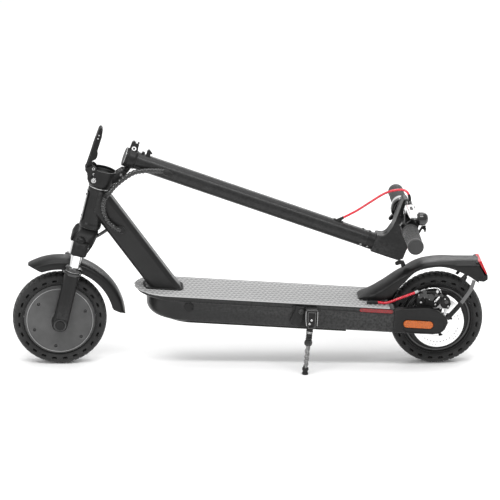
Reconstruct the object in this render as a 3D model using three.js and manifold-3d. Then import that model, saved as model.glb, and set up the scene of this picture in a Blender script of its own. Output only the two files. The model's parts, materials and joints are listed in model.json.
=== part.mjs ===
// Electric kick scooter, folded and standing on its kickstand.
// Millimetres, +Z up, +X towards the rear wheel, +Y to the rider's right.
import * as THREE from 'three';
import { mergeVertices } from 'three/addons/utils/BufferGeometryUtils.js';
import Module from 'manifold-3d';

const wasm = await Module();
wasm.setup();

const degrees = (value) => THREE.MathUtils.degToRad(value);

// ---------------------------------------------------------------- driving dimensions
const GAP = 0.3;                        // clearance between pieces that touch
const WHEEL_RADIUS = 108;               // 8.5 inch tyres
const WHEEL_FACETS = 36;
const AXLE_HEIGHT = WHEEL_RADIUS * Math.cos(Math.PI / WHEEL_FACETS);  // stands on a flat facet
const WHEELBASE = 865;
const TYRE_HALF = 24;
const BEAD_RADIUS = 82;                 // where tyre and rim meet

const HEAD_ANGLE = degrees(13);         // steering axis, back from the vertical
const COLLAR_TOP = [98.3, 460.5];       // top of the folding collar, on the steering axis
const FOLD_ANGLE = degrees(96.4);       // stem's turn from upright to folded
const HINGE_BACK = 40;                  // fold pin behind the steering axis
const HINGE_DROP = 1;                   // fold pin below the collar's top

const LEG_SPACING = 48;                 // fork leg's centre from the middle plane
const LEG_RADIUS = 14.5;
const STANCHION_RADIUS = 10.5;
const CROWN_BOTTOM = 204;               // along the leg, from the axle
const CROWN_TOP = 226;

const DECK_MIDDLE = [432.6, 172.1];     // top face of the mat, half way along
const DECK_TILT = degrees(3.4);         // the front end is higher
const DECK_HALF = 73;
const MAT_THICK = 3;
const MAT_STEP = 0.8;                   // standing area above the rest of the mat
const SHELL_BOTTOM = -60;
const SHELL_REAR = 329;

const STEM_RADIUS = 20;
const STEM_TOP = 597;                   // along the stem, from the fold pin
const BAR = [-115, 650];                // handlebar axis, across and along the stem
const BAR_RADIUS = 12.7;
const BAR_HALF = 214;
const GRIP_RADIUS = 18.3;
const GRIP_START = 104;

const ARM_INNER = 60;                   // rear arm's faces from the middle plane
const ARM_OUTER = 78;
const FENDER_HALF = 34;
const SKIN = 3;                         // fender sheet

// ---------------------------------------------------------------- finishes
const FINISH = {
  paint: { color: 0x33363a, roughness: 0.45, metalness: 0.4 },
  castPaint: { color: 0x2a2c2f, roughness: 0.55, metalness: 0.4 },
  plastic: { color: 0x2e3033, roughness: 0.6, metalness: 0 },
  gloss: { color: 0x101113, roughness: 0.15, metalness: 0 },
  mat: { color: 0x6e7073, roughness: 0.9, metalness: 0 },
  tyre: { color: 0x1d1d1e, roughness: 0.85, metalness: 0 },
  motor: { color: 0x55585b, roughness: 0.5, metalness: 0.5 },
  steel: { color: 0xb9bcc0, roughness: 0.3, metalness: 1 },
  chrome: { color: 0xe2e4e6, roughness: 0.1, metalness: 1 },
  copper: { color: 0xb06a3a, roughness: 0.4, metalness: 0.9 },
  red: { color: 0xd0202a, roughness: 0.4, metalness: 0 },
  amber: { color: 0xd97425, roughness: 0.25, metalness: 0 },
  blueWrap: { color: 0x274a86, roughness: 0.4, metalness: 0 },
  grip: { color: 0x232425, roughness: 0.9, metalness: 0 },
};

// ---------------------------------------------------------------- shape helpers
/** A geometry's closed surface, with its shared corners merged and facing out. */
function closed(geometry) {
  const bare = geometry.index ? geometry.toNonIndexed() : geometry.clone();
  bare.deleteAttribute('normal');
  bare.deleteAttribute('uv');
  const merged = mergeVertices(bare, 1e-4);
  if (signedVolume(merged) < 0) {
    merged.index.array.reverse();
  }
  return merged;
}

function signedVolume(geometry) {
  const corner = [new THREE.Vector3(), new THREE.Vector3(), new THREE.Vector3()];
  let volume = 0;
  for (let i = 0; i < geometry.index.count; i += 3) {
    corner.forEach((point, k) => {
      point.fromBufferAttribute(geometry.attributes.position, geometry.index.getX(i + k));
    });
    volume += corner[0].dot(corner[1].clone().cross(corner[2])) / 6;
  }
  return volume;
}

function toSolid(geometry) {
  const shape = closed(geometry);
  return new wasm.Manifold(new wasm.Mesh({
    numProp: 3,
    vertProperties: new Float32Array(shape.attributes.position.array),
    triVerts: new Uint32Array(shape.index.array),
  }));
}

function toGeometry(solid) {
  const { vertProperties, triVerts } = solid.getMesh();
  const geometry = new THREE.BufferGeometry();
  geometry.setAttribute('position', new THREE.BufferAttribute(new Float32Array(vertProperties), 3));
  geometry.setIndex(new THREE.BufferAttribute(new Uint32Array(triVerts), 1));
  return geometry;
}

function cut(body, ...tools) {
  return toGeometry(tools.reduce((solid, tool) => solid.subtract(toSolid(tool)), toSolid(body)));
}

function join(body, ...others) {
  return toGeometry(others.reduce((solid, other) => solid.add(toSolid(other)), toSolid(body)));
}

function block([x0, x1], [y0, y1], [z0, z1]) {
  const geometry = new THREE.BoxGeometry(x1 - x0, y1 - y0, z1 - z0);
  return geometry.translate((x0 + x1) / 2, (y0 + y1) / 2, (z0 + z1) / 2);
}

/** A side outline of [x, z] points, pulled out along Y between two planes. */
function slab(points, yFrom, yTo) {
  const shape = new THREE.Shape(points.map(([x, z]) => new THREE.Vector2(x, z)));
  const geometry = new THREE.ExtrudeGeometry(shape, { depth: yTo - yFrom, bevelEnabled: false });
  return geometry.rotateX(Math.PI / 2).translate(0, yTo, 0);
}

/** A plan shape pulled up between two heights. */
function raised(shape, zFrom, zTo, curveSegments = 10) {
  const options = { depth: zTo - zFrom, bevelEnabled: false, curveSegments };
  return new THREE.ExtrudeGeometry(shape, options).translate(0, 0, zFrom);
}

/** A profile of [radius, z] points turned round the Z axis. */
function turned(profile, sides = 24) {
  const points = profile.map(([r, z]) => new THREE.Vector2(r, z));
  return new THREE.LatheGeometry(points, sides).rotateX(Math.PI / 2);
}

/** A profile of [radius, y] points turned round the Y axis, with a facet at the bottom. */
function wheelTurned(profile, sides = WHEEL_FACETS) {
  return new THREE.LatheGeometry(profile.map(([r, y]) => new THREE.Vector2(r, y)), sides, Math.PI / sides);
}

function rod(radius, from, to, sides = 16) {
  const start = new THREE.Vector3(...from);
  const run = new THREE.Vector3(...to).sub(start);
  const geometry = new THREE.CylinderGeometry(radius, radius, run.length(), sides);
  const direction = run.clone().normalize();
  const turn = new THREE.Quaternion().setFromUnitVectors(new THREE.Vector3(0, 1, 0), direction);
  return geometry.applyQuaternion(turn).translate(...start.addScaledVector(run, 0.5).toArray());
}

function tubeAlong(points, radius, sides, steps) {
  const path = new THREE.CatmullRomCurve3(points.map((point) => new THREE.Vector3(...point)));
  const section = new THREE.Shape(circlePoints(radius, sides).map(([x, y]) => new THREE.Vector2(x, y)));
  return new THREE.ExtrudeGeometry(section, { extrudePath: path, steps, bevelEnabled: false });
}

function circlePoints(radius, sides, [cx, cy] = [0, 0], from = 0, to = 2 * Math.PI) {
  const whole = to - from === 2 * Math.PI;
  return Array.from({ length: whole ? sides : sides + 1 }, (_, i) => {
    const angle = from + (to - from) * i / sides;
    return [cx + radius * Math.cos(angle), cy + radius * Math.sin(angle)];
  });
}

function frameAt(parent, [x, z], turn = 0) {
  const group = new THREE.Group();
  group.position.set(x, 0, z);
  group.rotation.y = turn;
  parent.add(group);
  return group;
}

function add(group, name, geometry, finish) {
  const mesh = new THREE.Mesh(closed(geometry), new THREE.MeshStandardMaterial(FINISH[finish]));
  mesh.name = name;
  group.add(mesh);
}

const bothSides = [['left', -1], ['right', 1]];
const sideSpan = (side, near, far) => (side < 0 ? [-far, -near] : [near, far]);

// ---------------------------------------------------------------- frames
const scooter = new THREE.Group();
const frontAxle = frameAt(scooter, [0, AXLE_HEIGHT]);
const rearAxle = frameAt(scooter, [WHEELBASE, AXLE_HEIGHT]);
const fork = frameAt(scooter, [0, AXLE_HEIGHT], HEAD_ANGLE);
const steering = frameAt(scooter, COLLAR_TOP, HEAD_ANGLE);
const stem = frameAt(steering, [HINGE_BACK, -HINGE_DROP], FOLD_ANGLE);
const deck = frameAt(scooter, DECK_MIDDLE, DECK_TILT);

/** A point of one frame in another frame's numbers. */
function seenFrom(target, source, [x, z], y = 0) {
  scooter.updateMatrixWorld(true);
  return target.worldToLocal(source.localToWorld(new THREE.Vector3(x, y, z))).toArray();
}

/** A geometry made in one frame, moved into another frame's numbers. */
function movedTo(target, source, geometry) {
  scooter.updateMatrixWorld(true);
  const matrix = target.matrixWorld.clone().invert().multiply(source.matrixWorld);
  return geometry.applyMatrix4(matrix);
}

// ---------------------------------------------------------------- wheels
function tyre() {
  const half = [
    [BEAD_RADIUS + GAP, 18], [BEAD_RADIUS + 4, 21], [92, TYRE_HALF],
    [99, 22.5], [104.5, 18], [WHEEL_RADIUS, 11],
  ];
  const mirrored = half.map(([r, y]) => [r, -y]).reverse();
  return wheelTurned([...half, ...mirrored, half[0]]);
}

function hubMotorCase() {
  const outside = [
    [7.6, 33], [17, 32], [19, 28], [74, 24], [BEAD_RADIUS, 16],
    [BEAD_RADIUS, -16], [74, -24], [19, -28], [17, -32], [7.6, -33],
  ];
  const inside = [[7.6, -28], [66, -20], [66, 20], [7.6, 28], [7.6, 33]];
  return wheelTurned([...outside, ...inside]);
}

function rearRim() {
  const ring = wheelTurned([[62, 16], [BEAD_RADIUS, 18], [BEAD_RADIUS, -18], [62, -16], [62, 16]]);
  const hub = wheelTurned([[6.4, 34], [15, 34], [15, -38], [6.4, -38], [6.4, 34]], 24);
  const spokes = [0, 1, 2, 3, 4].map((index) => {
    const spoke = block([13, 65], [-6, 6], [-7, 7]);
    return spoke.rotateY(index * 2 * Math.PI / 5);
  });
  return join(ring, hub, ...spokes);
}

function brakeDisc() {
  const plate = wheelTurned([[6.6, -38.4], [60, -38.4], [60, -40.4], [6.6, -40.4], [6.6, -38.4]]);
  const windows = circlePoints(31, 6).map(([x, z]) => rod(10, [x, -45, z], [x, -30, z], 12));
  return cut(plate, ...windows);
}

function motorStator() {
  return wheelTurned([[7.4, 14], [58, 14], [58, -14], [7.4, -14], [7.4, 14]], 24);
}

add(frontAxle, 'front_tyre', tyre(), 'tyre');
add(frontAxle, 'hub_motor_case', hubMotorCase(), 'motor');
add(frontAxle, 'motor_stator', motorStator(), 'copper');
add(rearAxle, 'rear_tyre', tyre(), 'tyre');
add(rearAxle, 'rear_rim', rearRim(), 'paint');
add(rearAxle, 'brake_disc', brakeDisc(), 'steel');
add(rearAxle, 'rear_axle', rod(6, [0, -69, 0], [0, 69, 0]), 'steel');

// ---------------------------------------------------------------- fork
function forkCrown() {
  const offset = seenFrom(fork, steering, [0, 0])[0];
  const [front, rear, wide, narrow] = [-17, offset + 23, LEG_SPACING + 16, 24];
  const bridge = raised(new THREE.Shape([
    [front, -wide + 4], [front + 4, -wide], [8, -wide], [14, -wide + 6], [rear, -narrow],
    [rear, narrow], [14, wide - 6], [8, wide], [front + 4, wide], [front, wide - 4],
  ].map(([x, y]) => new THREE.Vector2(x, y))), CROWN_BOTTOM, CROWN_TOP);
  const steererTop = seenFrom(fork, steering, [0, -36])[2];
  const steerer = turned([
    [13, CROWN_TOP - 12], [16.5, CROWN_TOP - 12], [16.5, steererTop], [13, steererTop], [13, CROWN_TOP - 12],
  ], 20).translate(offset, 0, 0);
  const holes = bothSides.map(([, side]) => {
    const y = side * LEG_SPACING;
    return rod(STANCHION_RADIUS + GAP, [0, y, CROWN_BOTTOM - 1], [0, y, CROWN_TOP + 1], 20);
  });
  return cut(join(bridge, steerer), ...holes);
}

function forkLeg(side) {
  const profile = [
    [0, -17], [9, -15], [13, -9], [LEG_RADIUS, 0], [LEG_RADIUS, 118],
    [18, 121], [18, 131], [15, 134], [0, 134],
  ];
  const leg = turned(profile, 20).translate(0, side * LEG_SPACING, 0);
  const bore = rod(STANCHION_RADIUS + GAP, [0, side * LEG_SPACING, 32], [0, side * LEG_SPACING, 140], 20);
  const outerFlat = block([-30, 30], sideSpan(side, LEG_SPACING + 9, LEG_SPACING + 30), [-30, 22]);
  const innerFlat = block([-30, 30], sideSpan(side, 10, 32), [110, 140]);
  const axleHole = rod(7.4, [0, side * 30, 0], [0, side * 70, 0]);
  return cut(leg, bore, outerFlat, innerFlat, axleHole);
}

/** A fender that follows an arc round its wheel, with skirts down both sides. */
function frontFender() {
  const [outer, skirt] = [146, 124];
  const [rear, front] = [degrees(7), degrees(119)];
  const outline = [
    ...circlePoints(outer, 22, [0, 0], rear, front),
    ...circlePoints(skirt + 6, 22, [0, 0], front - 0.06, rear + 0.03),
  ];
  const inner = [
    ...circlePoints(outer - SKIN, 22, [0, 0], rear - 0.2, front + 0.2),
    ...circlePoints(skirt - 15, 22, [0, 0], front + 0.2, rear - 0.2),
  ];
  return cut(slab(outline, -31, 31), slab(inner, -31 + SKIN, 31 - SKIN));
}

add(fork, 'fork_crown', forkCrown(), 'castPaint');
for (const [name, side] of bothSides) {
  add(fork, `fork_stanchion_${name}`, rod(STANCHION_RADIUS, [0, side * LEG_SPACING, 62],
    [0, side * LEG_SPACING, CROWN_TOP + 8], 20), 'chrome');
  add(fork, `fork_leg_${name}`, forkLeg(side), 'castPaint');
}
add(frontAxle, 'front_fender', frontFender(), 'plastic');
add(frontAxle, 'front_axle', join(rod(7, [0, -61, 0], [0, 61, 0]),
  rod(11, [0, -62, 0], [0, -57 - GAP, 0]), rod(11, [0, 57 + GAP, 0], [0, 62, 0])), 'steel');

// ---------------------------------------------------------------- head tube and folding collar
const LATCH_PIVOT = [-36.5, -6];        // ahead of the steering axis, below the collar's top

function foldCollar() {
  const cup = turned([
    [16.9, -45], [24, -45], [30, -34], [30, -2], [26, -2], [26, -28], [16.9, -28], [16.9, -45],
  ], 28);
  const cheekSide = [[24, -30], [HINGE_BACK, -HINGE_DROP - 13],
    ...circlePoints(12, 10, [HINGE_BACK, -HINGE_DROP], -Math.PI / 2, Math.PI / 2), [24, -3]];
  const cheeks = bothSides.map(([, side]) => slab(cheekSide, ...sideSpan(side, 9.3, 17)));
  const earRound = circlePoints(6.5, 8, LATCH_PIVOT, Math.PI * 1.5, Math.PI * 0.5);
  const earSide = [[-26, -22], [-36.5, -14], ...earRound, [-26, -2]];
  const ears = bothSides.map(([, side]) => slab(earSide, ...sideSpan(side, 14.4, 19)));
  const pinHole = rod(4.3, [HINGE_BACK, -30, -HINGE_DROP], [HINGE_BACK, 30, -HINGE_DROP]);
  const inside = rod(26, [0, 0, -27.9], [0, 0, 30], 28);
  return cut(join(cup, ...cheeks, ...ears), pinHole, inside);
}

function latchLever() {
  const side = [
    ...circlePoints(5.6, 8, LATCH_PIVOT, Math.PI * 1.05, Math.PI * 1.95),
    [-30, 0], [-22, 3], [-30, 8], [-31, 15], [-24, 21], [-22, 27], [-22.6, 36], [-25, 39],
    [-23.8, 55], [-22.6, 74], [-24.2, 92], [-29, 96],
    [-32.9, 91], [-35, 71], [-37, 52], [-38.2, 32], [-40.5, 4],
  ];
  const slot = block([-60, 0], [-8, 8], [-20, 70]);
  return cut(slab(side, -14, 14), slot);
}

add(steering, 'head_tube', turned([[17, -138], [23, -138], [23, -47], [17, -47], [17, -138]], 28), 'paint');
add(steering, 'fold_collar', foldCollar(), 'castPaint');
add(steering, 'fold_pin', rod(4, [HINGE_BACK, -19, -HINGE_DROP], [HINGE_BACK, 19, -HINGE_DROP]), 'steel');
add(steering, 'latch_lever', latchLever(), 'castPaint');

// ---------------------------------------------------------------- stem and handlebar
const STEM_ACROSS = -HINGE_BACK;        // the stem's axis, seen from the fold pin

function stemBase() {
  const cap = rod(22, [STEM_ACROSS, 0, 0], [STEM_ACROSS, 0, 20], 28);
  const knuckle = slab([[-30, 0], ...circlePoints(9.2, 14, [0, 0], -Math.PI, Math.PI / 2),
    [-12, 14], [-30, 18]], -9, 9);
  const catchLug = slab([[-56, 0], [-79, 0], [-83, 6], [-84, 15], [-76, 17], [-72, 11], [-56, 17]], -6, 6);
  const pinHole = rod(4.3, [0, -30, 0], [0, 30, 0]);
  return cut(join(cap, knuckle, catchLug), pinHole);
}

function stemTube() {
  return turned([[17, 20 + GAP], [STEM_RADIUS, 20 + GAP], [STEM_RADIUS, STEM_TOP], [17, STEM_TOP],
    [17, 20 + GAP]], 24).translate(STEM_ACROSS, 0, 0);
}

function stemHead() {
  const [across, along] = BAR;
  const side = [
    [-20, STEM_TOP + GAP], [-20, 640], [-21, 662], [-25, 672], [-40, 675], [-62, 674], [-96, 672],
    [-129, 664], [-152, 646], [-164, 632], [-162, 623], [-130, 624], [-90, 625], [-72, 622],
    [-62, 608], [-60, STEM_TOP + GAP],
  ];
  const barHole = rod(BAR_RADIUS + GAP, [across, -60, along - 2], [across, 60, along - 2], 20);
  const buttonWell = rod(6.5, [-50, 0, 669.5], [-50, 0, 690], 16);
  return cut(slab(side, -21, 21), barHole, buttonWell);
}

function ringOn([across, along], inner, outer, y0, y1, sides = 20) {
  const profile = [[inner, y0], [outer, y0], [outer, y1], [inner, y1], [inner, y0]];
  const points = profile.map(([r, y]) => new THREE.Vector2(r, y));
  return new THREE.LatheGeometry(points, sides).translate(across, 0, along);
}

const BAR_LINE = [BAR[0], BAR[1] - 2];
const RING_INNER = BAR_RADIUS + GAP;

function gripSleeve(side) {
  const [y0, y1] = sideSpan(side, GRIP_START, BAR_HALF + 1);
  return cut(rod(GRIP_RADIUS, [BAR_LINE[0], y0, BAR_LINE[1]], [BAR_LINE[0], y1, BAR_LINE[1]], 20),
    rod(RING_INNER, [BAR_LINE[0], side * (GRIP_START - 5), BAR_LINE[1]],
      [BAR_LINE[0], side * (BAR_HALF - 2), BAR_LINE[1]], 20));
}

function brakeLeverMount() {
  const [across, along] = BAR_LINE;
  const clamp = rod(18, [across, -84, along], [across, -64, along], 20);
  const horn = slab([
    [across, along - 9], [-138, along - 9], [-152, along - 11], [-155, along],
    [-152, along + 11], [-138, along + 9], [across, along + 9],
  ], -82, -56);
  const fingerSlot = block([-160, -134], [-90, -62], [along - 6.5, along + 6.5]);
  const barHole = rod(RING_INNER, [across, -90, along], [across, -50, along], 20);
  return cut(join(clamp, horn), fingerSlot, barHole);
}

function brakeLever() {
  const along = BAR_LINE[1];
  const blade = new THREE.Shape([
    [-138, -69], [-139, -80], [-154, -94], [-160, -110], [-161, -165], [-167, -186], [-172, -186],
    [-172, -165], [-171, -108], [-164, -86], [-152, -69],
  ].map(([x, y]) => new THREE.Vector2(x, y)));
  return raised(blade, along - 6, along + 6);
}

function throttleMount() {
  const [across, along] = BAR_LINE;
  return ringOn([across, along], RING_INNER, 21, 66, 88);
}

function thumbLever() {
  const [across, along] = BAR_LINE;
  const ring = ringOn([across, along], RING_INNER, 18, 88.4, 99);
  const paddle = slab([[across + 14, along - 8], [across + 40, along - 20], [across + 43, along - 12],
    [across + 17, along + 2]], 88.4, 99);
  return cut(join(ring, paddle), rod(RING_INNER, [across, 80, along], [across, 110, along], 20));
}

function bell() {
  const [across, along] = BAR_LINE;
  const clamp = ringOn([across, along], RING_INNER, 16, -100, -88);
  const post = rod(4, [across, -94, along + 14], [across, -94, along + 26], 10);
  const dome = turned([[0, 24], [16, 24], [15, 31], [11, 36], [5, 39], [0, 39.5]], 20);
  dome.translate(across, -94, along);
  return join(clamp, post, dome);
}

function bellStriker() {
  const [across, along] = BAR_LINE;
  return join(rod(4, [across + 21, -94, along + 19], [across + 21, -94, along + 29], 10),
    block([across + 19, across + 30], [-96, -92], [along + 24, along + 28]));
}

function displayPanel() {
  return slab([
    [-64, 674.3], [-96, 672.4], [-129, 664.4], [-151, 647.4],
    [-154, 650], [-131, 668], [-97, 676.6], [-64, 678.4],
  ], -24, 24);
}

const CABLE_ROUTE = [                   // brake cable from the stem's side to the lever's mount
  [-63.2, 0, 507], [-70, -1, 512.5], [-96, -6, 534], [-131, -14, 557], [-155, -22, 572], [-171, -28, 586],
  [-180, -34, 601], [-183, -41, 615], [-176, -47, 627], [-162, -51, 638], [-152, -53, 645],
];

add(stem, 'stem_base', stemBase(), 'castPaint');
add(stem, 'stem_tube', stemTube(), 'paint');
add(stem, 'stem_head', stemHead(), 'castPaint');
add(stem, 'display_panel', displayPanel(), 'gloss');
add(stem, 'mode_button', rod(6, [-50, 0, 671.8], [-50, 0, 677.5], 16), 'red');
add(stem, 'handlebar', rod(BAR_RADIUS, [BAR_LINE[0], -BAR_HALF + 2.5, BAR_LINE[1]],
  [BAR_LINE[0], BAR_HALF - 2.5, BAR_LINE[1]], 20), 'paint');
for (const [name, side] of bothSides) {
  add(stem, `grip_${name}`, gripSleeve(side), 'grip');
}
add(stem, 'brake_lever_mount', brakeLeverMount(), 'castPaint');
add(stem, 'brake_lever', brakeLever(), 'steel');
add(stem, 'throttle_mount', throttleMount(), 'plastic');
add(stem, 'thumb_lever', thumbLever(), 'plastic');
add(stem, 'bell', bell(), 'gloss');
add(stem, 'bell_striker', bellStriker(), 'plastic');
add(stem, 'brake_cable', tubeAlong(CABLE_ROUTE, 2.5, 8, 24), 'red');

// ---------------------------------------------------------------- deck
function deckPlan(front, rear, half, notchFrom) {
  const shape = new THREE.Shape();
  shape.moveTo(rear, half);
  shape.lineTo(front + half, half);
  shape.absarc(front + half, 0, half, Math.PI / 2, Math.PI * 1.5, false);
  shape.lineTo(rear, -half);
  shape.lineTo(rear, -FENDER_HALF + 1);
  shape.lineTo(notchFrom, -FENDER_HALF + 1);
  shape.lineTo(notchFrom, FENDER_HALF - 1);
  shape.lineTo(rear, FENDER_HALF - 1);
  return shape;
}

const CHARGE_PORT = [-140, -25];        // along the deck and down from its top, on the left side

function deckShell() {
  const lip = raised(deckPlan(-259, SHELL_REAR, DECK_HALF, 312), -13, -MAT_THICK - GAP);
  const body = raised(deckPlan(-234, SHELL_REAR, DECK_HALF, 312), SHELL_BOTTOM, -12);
  const hollow = raised(deckPlan(-229, 306, DECK_HALF - 4, 305), SHELL_BOTTOM - 5, -9);
  const port = rod(9, [CHARGE_PORT[0], -90, CHARGE_PORT[1]], [CHARGE_PORT[0], -60, CHARGE_PORT[1]]);
  return cut(join(lip, body), hollow, port);
}

function chargeCap() {
  const [x, z] = CHARGE_PORT;
  const lid = rod(11, [x, -76.5, z], [x, -73.4, z], 18);
  const plug = rod(7, [x, -74, z], [x, -67, z], 18);
  return join(lid, plug);
}

/** The grip mat: its standing area, between the down tube and the fender, is a little higher. */
function deckMat() {
  const sheet = raised(deckPlan(-262, 318, DECK_HALF - 2, 310), -MAT_THICK, -MAT_STEP);
  const standing = block([-84, 244], [-64, 64], [-MAT_THICK, 0]);
  return join(sheet, standing);
}

function bottomCover() {
  return raised(deckPlan(-226, 310, DECK_HALF - 6, 309), SHELL_BOTTOM - 6, SHELL_BOTTOM - GAP);
}

const KICK_PIVOT = [138, -32];          // in the deck's frame
const KICK_FOOT = [556, -92];           // on the ground, from the front axle and the middle plane
const KICK_SIDE = -90;

function kickstandBracket() {
  const plate = slab([[95, -8], [150, -8], [154, -44], [128, -54], [95, -54]], -78, -DECK_HALF - GAP);
  const boss = slab([[124, -12], [150, -12], [152, -44], [128, -50]], -84, -77);
  const pin = rod(4, [KICK_PIVOT[0], -97, KICK_PIVOT[1]], [KICK_PIVOT[0], -80, KICK_PIVOT[1]], 14);
  return join(plate, boss, pin);
}

function kickstandLeg() {
  const [x, , z] = seenFrom(scooter, deck, KICK_PIVOT);
  const eye = rod(11, [x, -96, z], [x, -84.4, z], 18);
  const shaft = rod(6, [x, KICK_SIDE, z], [KICK_FOOT[0] + 3, KICK_FOOT[1], 24], 12);
  const nut = rod(9, [x - 5.2, -91, z - 55], [x - 6.2, -91.2, z - 66], 6);
  const hole = rod(4.3, [x, -110, z], [x, -70, z], 14);
  return cut(join(eye, shaft, nut), hole);
}

function kickstandFoot() {
  const sleeve = rod(9, [KICK_FOOT[0] + 3, KICK_FOOT[1], 32], [KICK_FOOT[0], KICK_FOOT[1], 0], 14);
  const pad = block([KICK_FOOT[0] - 16, KICK_FOOT[0] + 14], [KICK_FOOT[1] - 10, KICK_FOOT[1] + 10], [0, 8]);
  const [x, , z] = seenFrom(scooter, deck, KICK_PIVOT);
  const socket = rod(6 + 2 * GAP, [x, KICK_SIDE, z], [KICK_FOOT[0] + 3, KICK_FOOT[1], 23.4], 12);
  const ground = block([KICK_FOOT[0] - 40, KICK_FOOT[0] + 40], [-140, -50], [-20, 0]);
  return cut(join(sleeve, pad), socket, ground);
}

function rearArm(side) {
  const outline = [
    [SHELL_REAR + GAP, -4], [345, 1], [409, 6], [430, -2], [450, -16],
    [454, -26], [448, -44], [438, -54], [420, -57], [SHELL_REAR + GAP, -58],
  ];
  const arm = slab(outline, ...sideSpan(side, ARM_INNER, ARM_OUTER));
  const recess = slab(ovalPoints([386, -34], 36, 12), ...sideSpan(side, ARM_OUTER - 4, ARM_OUTER + 4));
  const [x, , z] = seenFrom(deck, rearAxle, [0, 0]);
  const axleHole = rod(6.3, [x, side * (ARM_INNER - 5), z], [x, side * 70, z]);
  return cut(arm, recess, axleHole);
}

function ovalPoints([cx, cz], halfLong, halfHigh) {
  const straight = halfLong - halfHigh;
  return [
    ...circlePoints(halfHigh, 8, [cx + straight, cz], -Math.PI / 2, Math.PI / 2),
    ...circlePoints(halfHigh, 8, [cx - straight, cz], Math.PI / 2, Math.PI * 1.5),
  ];
}

add(deck, 'deck_shell', deckShell(), 'paint');
add(deck, 'deck_mat', deckMat(), 'mat');
add(deck, 'bottom_cover', bottomCover(), 'plastic');
add(deck, 'battery_pack', block([-120, 260], [-58, 58], [-56, -14]), 'blueWrap');
add(deck, 'motor_controller', block([-205, -150], [-40, 40], [-52, -16]), 'motor');
add(deck, 'charge_cap', chargeCap(), 'plastic');
add(deck, 'kickstand_bracket', kickstandBracket(), 'castPaint');
add(scooter, 'kickstand_leg', kickstandLeg(), 'steel');
add(scooter, 'kickstand_foot', kickstandFoot(), 'plastic');
for (const [name, side] of bothSides) {
  add(deck, `rear_arm_${name}`, rearArm(side), 'castPaint');
  add(deck, `side_reflector_${name}`, slab(ovalPoints([386, -34], 34, 9.2),
    ...sideSpan(side, ARM_OUTER - 4 + GAP, ARM_OUTER)), 'amber');
}

// ---------------------------------------------------------------- down tube
function downTube() {
  const middle = new THREE.Vector3(189, 0, 256);
  const slope = degrees(36.5);
  const section = new THREE.Shape(roundedPoints(28, 25.7, 12, 3));
  section.holes.push(new THREE.Path(roundedPoints(25, 22.7, 9, 3)));
  const tube = new THREE.ExtrudeGeometry(section, { depth: 400, bevelEnabled: false });
  tube.translate(0, 0, -200).rotateZ(Math.PI / 2).rotateY(-slope).translate(...middle.toArray());
  const underDeck = movedTo(scooter, deck, block([-500, 200], [-100, 100], [-300, GAP]));
  const headTube = movedTo(scooter, steering, rod(23 + GAP, [0, 0, -400], [0, 0, 200], 28));
  const aheadOfHead = movedTo(scooter, steering, block([-400, 0], [-100, 100], [-400, 400]));
  const aboveHead = movedTo(scooter, steering, block([-100, 300], [-100, 100], [-47.6, 300]));
  return cut(tube, underDeck, headTube, aheadOfHead, aboveHead);
}

function roundedPoints(halfX, halfY, radius, steps) {
  const points = [];
  for (const [sx, sy, from] of [[1, 1, 0], [-1, 1, 90], [-1, -1, 180], [1, -1, 270]]) {
    const centre = [sx * (halfX - radius), sy * (halfY - radius)];
    points.push(...circlePoints(radius, steps, centre, degrees(from), degrees(from + 90)));
  }
  return points.map(([x, y]) => new THREE.Vector2(x, y));
}

add(scooter, 'down_tube', downTube(), 'paint');

// ---------------------------------------------------------------- rear fender, light and brake
const FENDER_TOP = [
  [-182, 51], [-173, 57.5], [-143, 76], [-120, 91], [-98, 108],
  [-75, 122], [-53, 135], [-30, 143.5], [4, 147.6], [88, 147.6],
];
const FENDER_UNDER = [
  [88, 93], [65, 110], [23, 128], [-12, 130.5], [-53, 119],
  [-81, 91.5], [-104, 67], [-110, 57.5], [-130, 50.5],
];

function rearFender() {
  const inner = [
    ...FENDER_TOP.map(([x, z]) => [x < 80 ? x + 2 : x + 4, z - SKIN]),
    [92, 20], [-60, 20], [-176, 20],
  ];
  return cut(slab([...FENDER_TOP, ...FENDER_UNDER], -FENDER_HALF, FENDER_HALF),
    slab(inner, -FENDER_HALF + SKIN, FENDER_HALF - SKIN));
}

function caliper() {
  const body = slab([[-54, 48], [-54, 74], [-44, 84], [-12, 84], [-4, 74], [-8, 48]], -57, -29);
  const discSlot = block([-60, 10], [-42.5, -36.2], [30, 66]);
  return cut(body, discSlot);
}

const REAR_CABLE = [                    // from the deck's top to the caliper, seen from the rear axle
  [-158, -50, 51.3], [-148, -50, 51.4], [-134, -50, 52.2], [-118, -49.5, 54.5],
  [-100, -49, 58.6], [-80, -48, 64], [-66, -47, 68], [-56, -46, 71],
];

add(rearAxle, 'rear_fender', rearFender(), 'plastic');
add(rearAxle, 'tail_light', slab([[92.4, 147.6], [96, 147], [113, 107], [115, 92], [105, 85.5], [92.4, 90]],
  -FENDER_HALF + 4, FENDER_HALF - 4), 'red');
add(rearAxle, 'stem_hook', slab([[-84, 119], [-84.5, 130], [-97, 126], [-98, 131], [-86, 136.5], [-78, 134],
  [-74.5, 125]], -5, 5), 'castPaint');
for (const [name, side] of bothSides) {
  add(rearAxle, `fender_strut_${name}`, tubeAlong([
    [90, side * 38.5, 96], [76, side * 46, 84], [48, side * 62, 54], [27, side * 69, 31],
  ], 3.5, 8, 9), 'steel');
}
add(rearAxle, 'brake_caliper', caliper(), 'castPaint');
add(rearAxle, 'caliper_arm', join(rod(7, [-20, -61, 68], [-20, -57.4, 68], 14),
  slab([[-20, 63], [-46, 66], [-50, 70], [-46, 74], [-20, 75]], -61, -57.4)), 'steel');
add(rearAxle, 'rear_brake_cable', tubeAlong(REAR_CABLE, 2.5, 8, 20), 'red');

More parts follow.
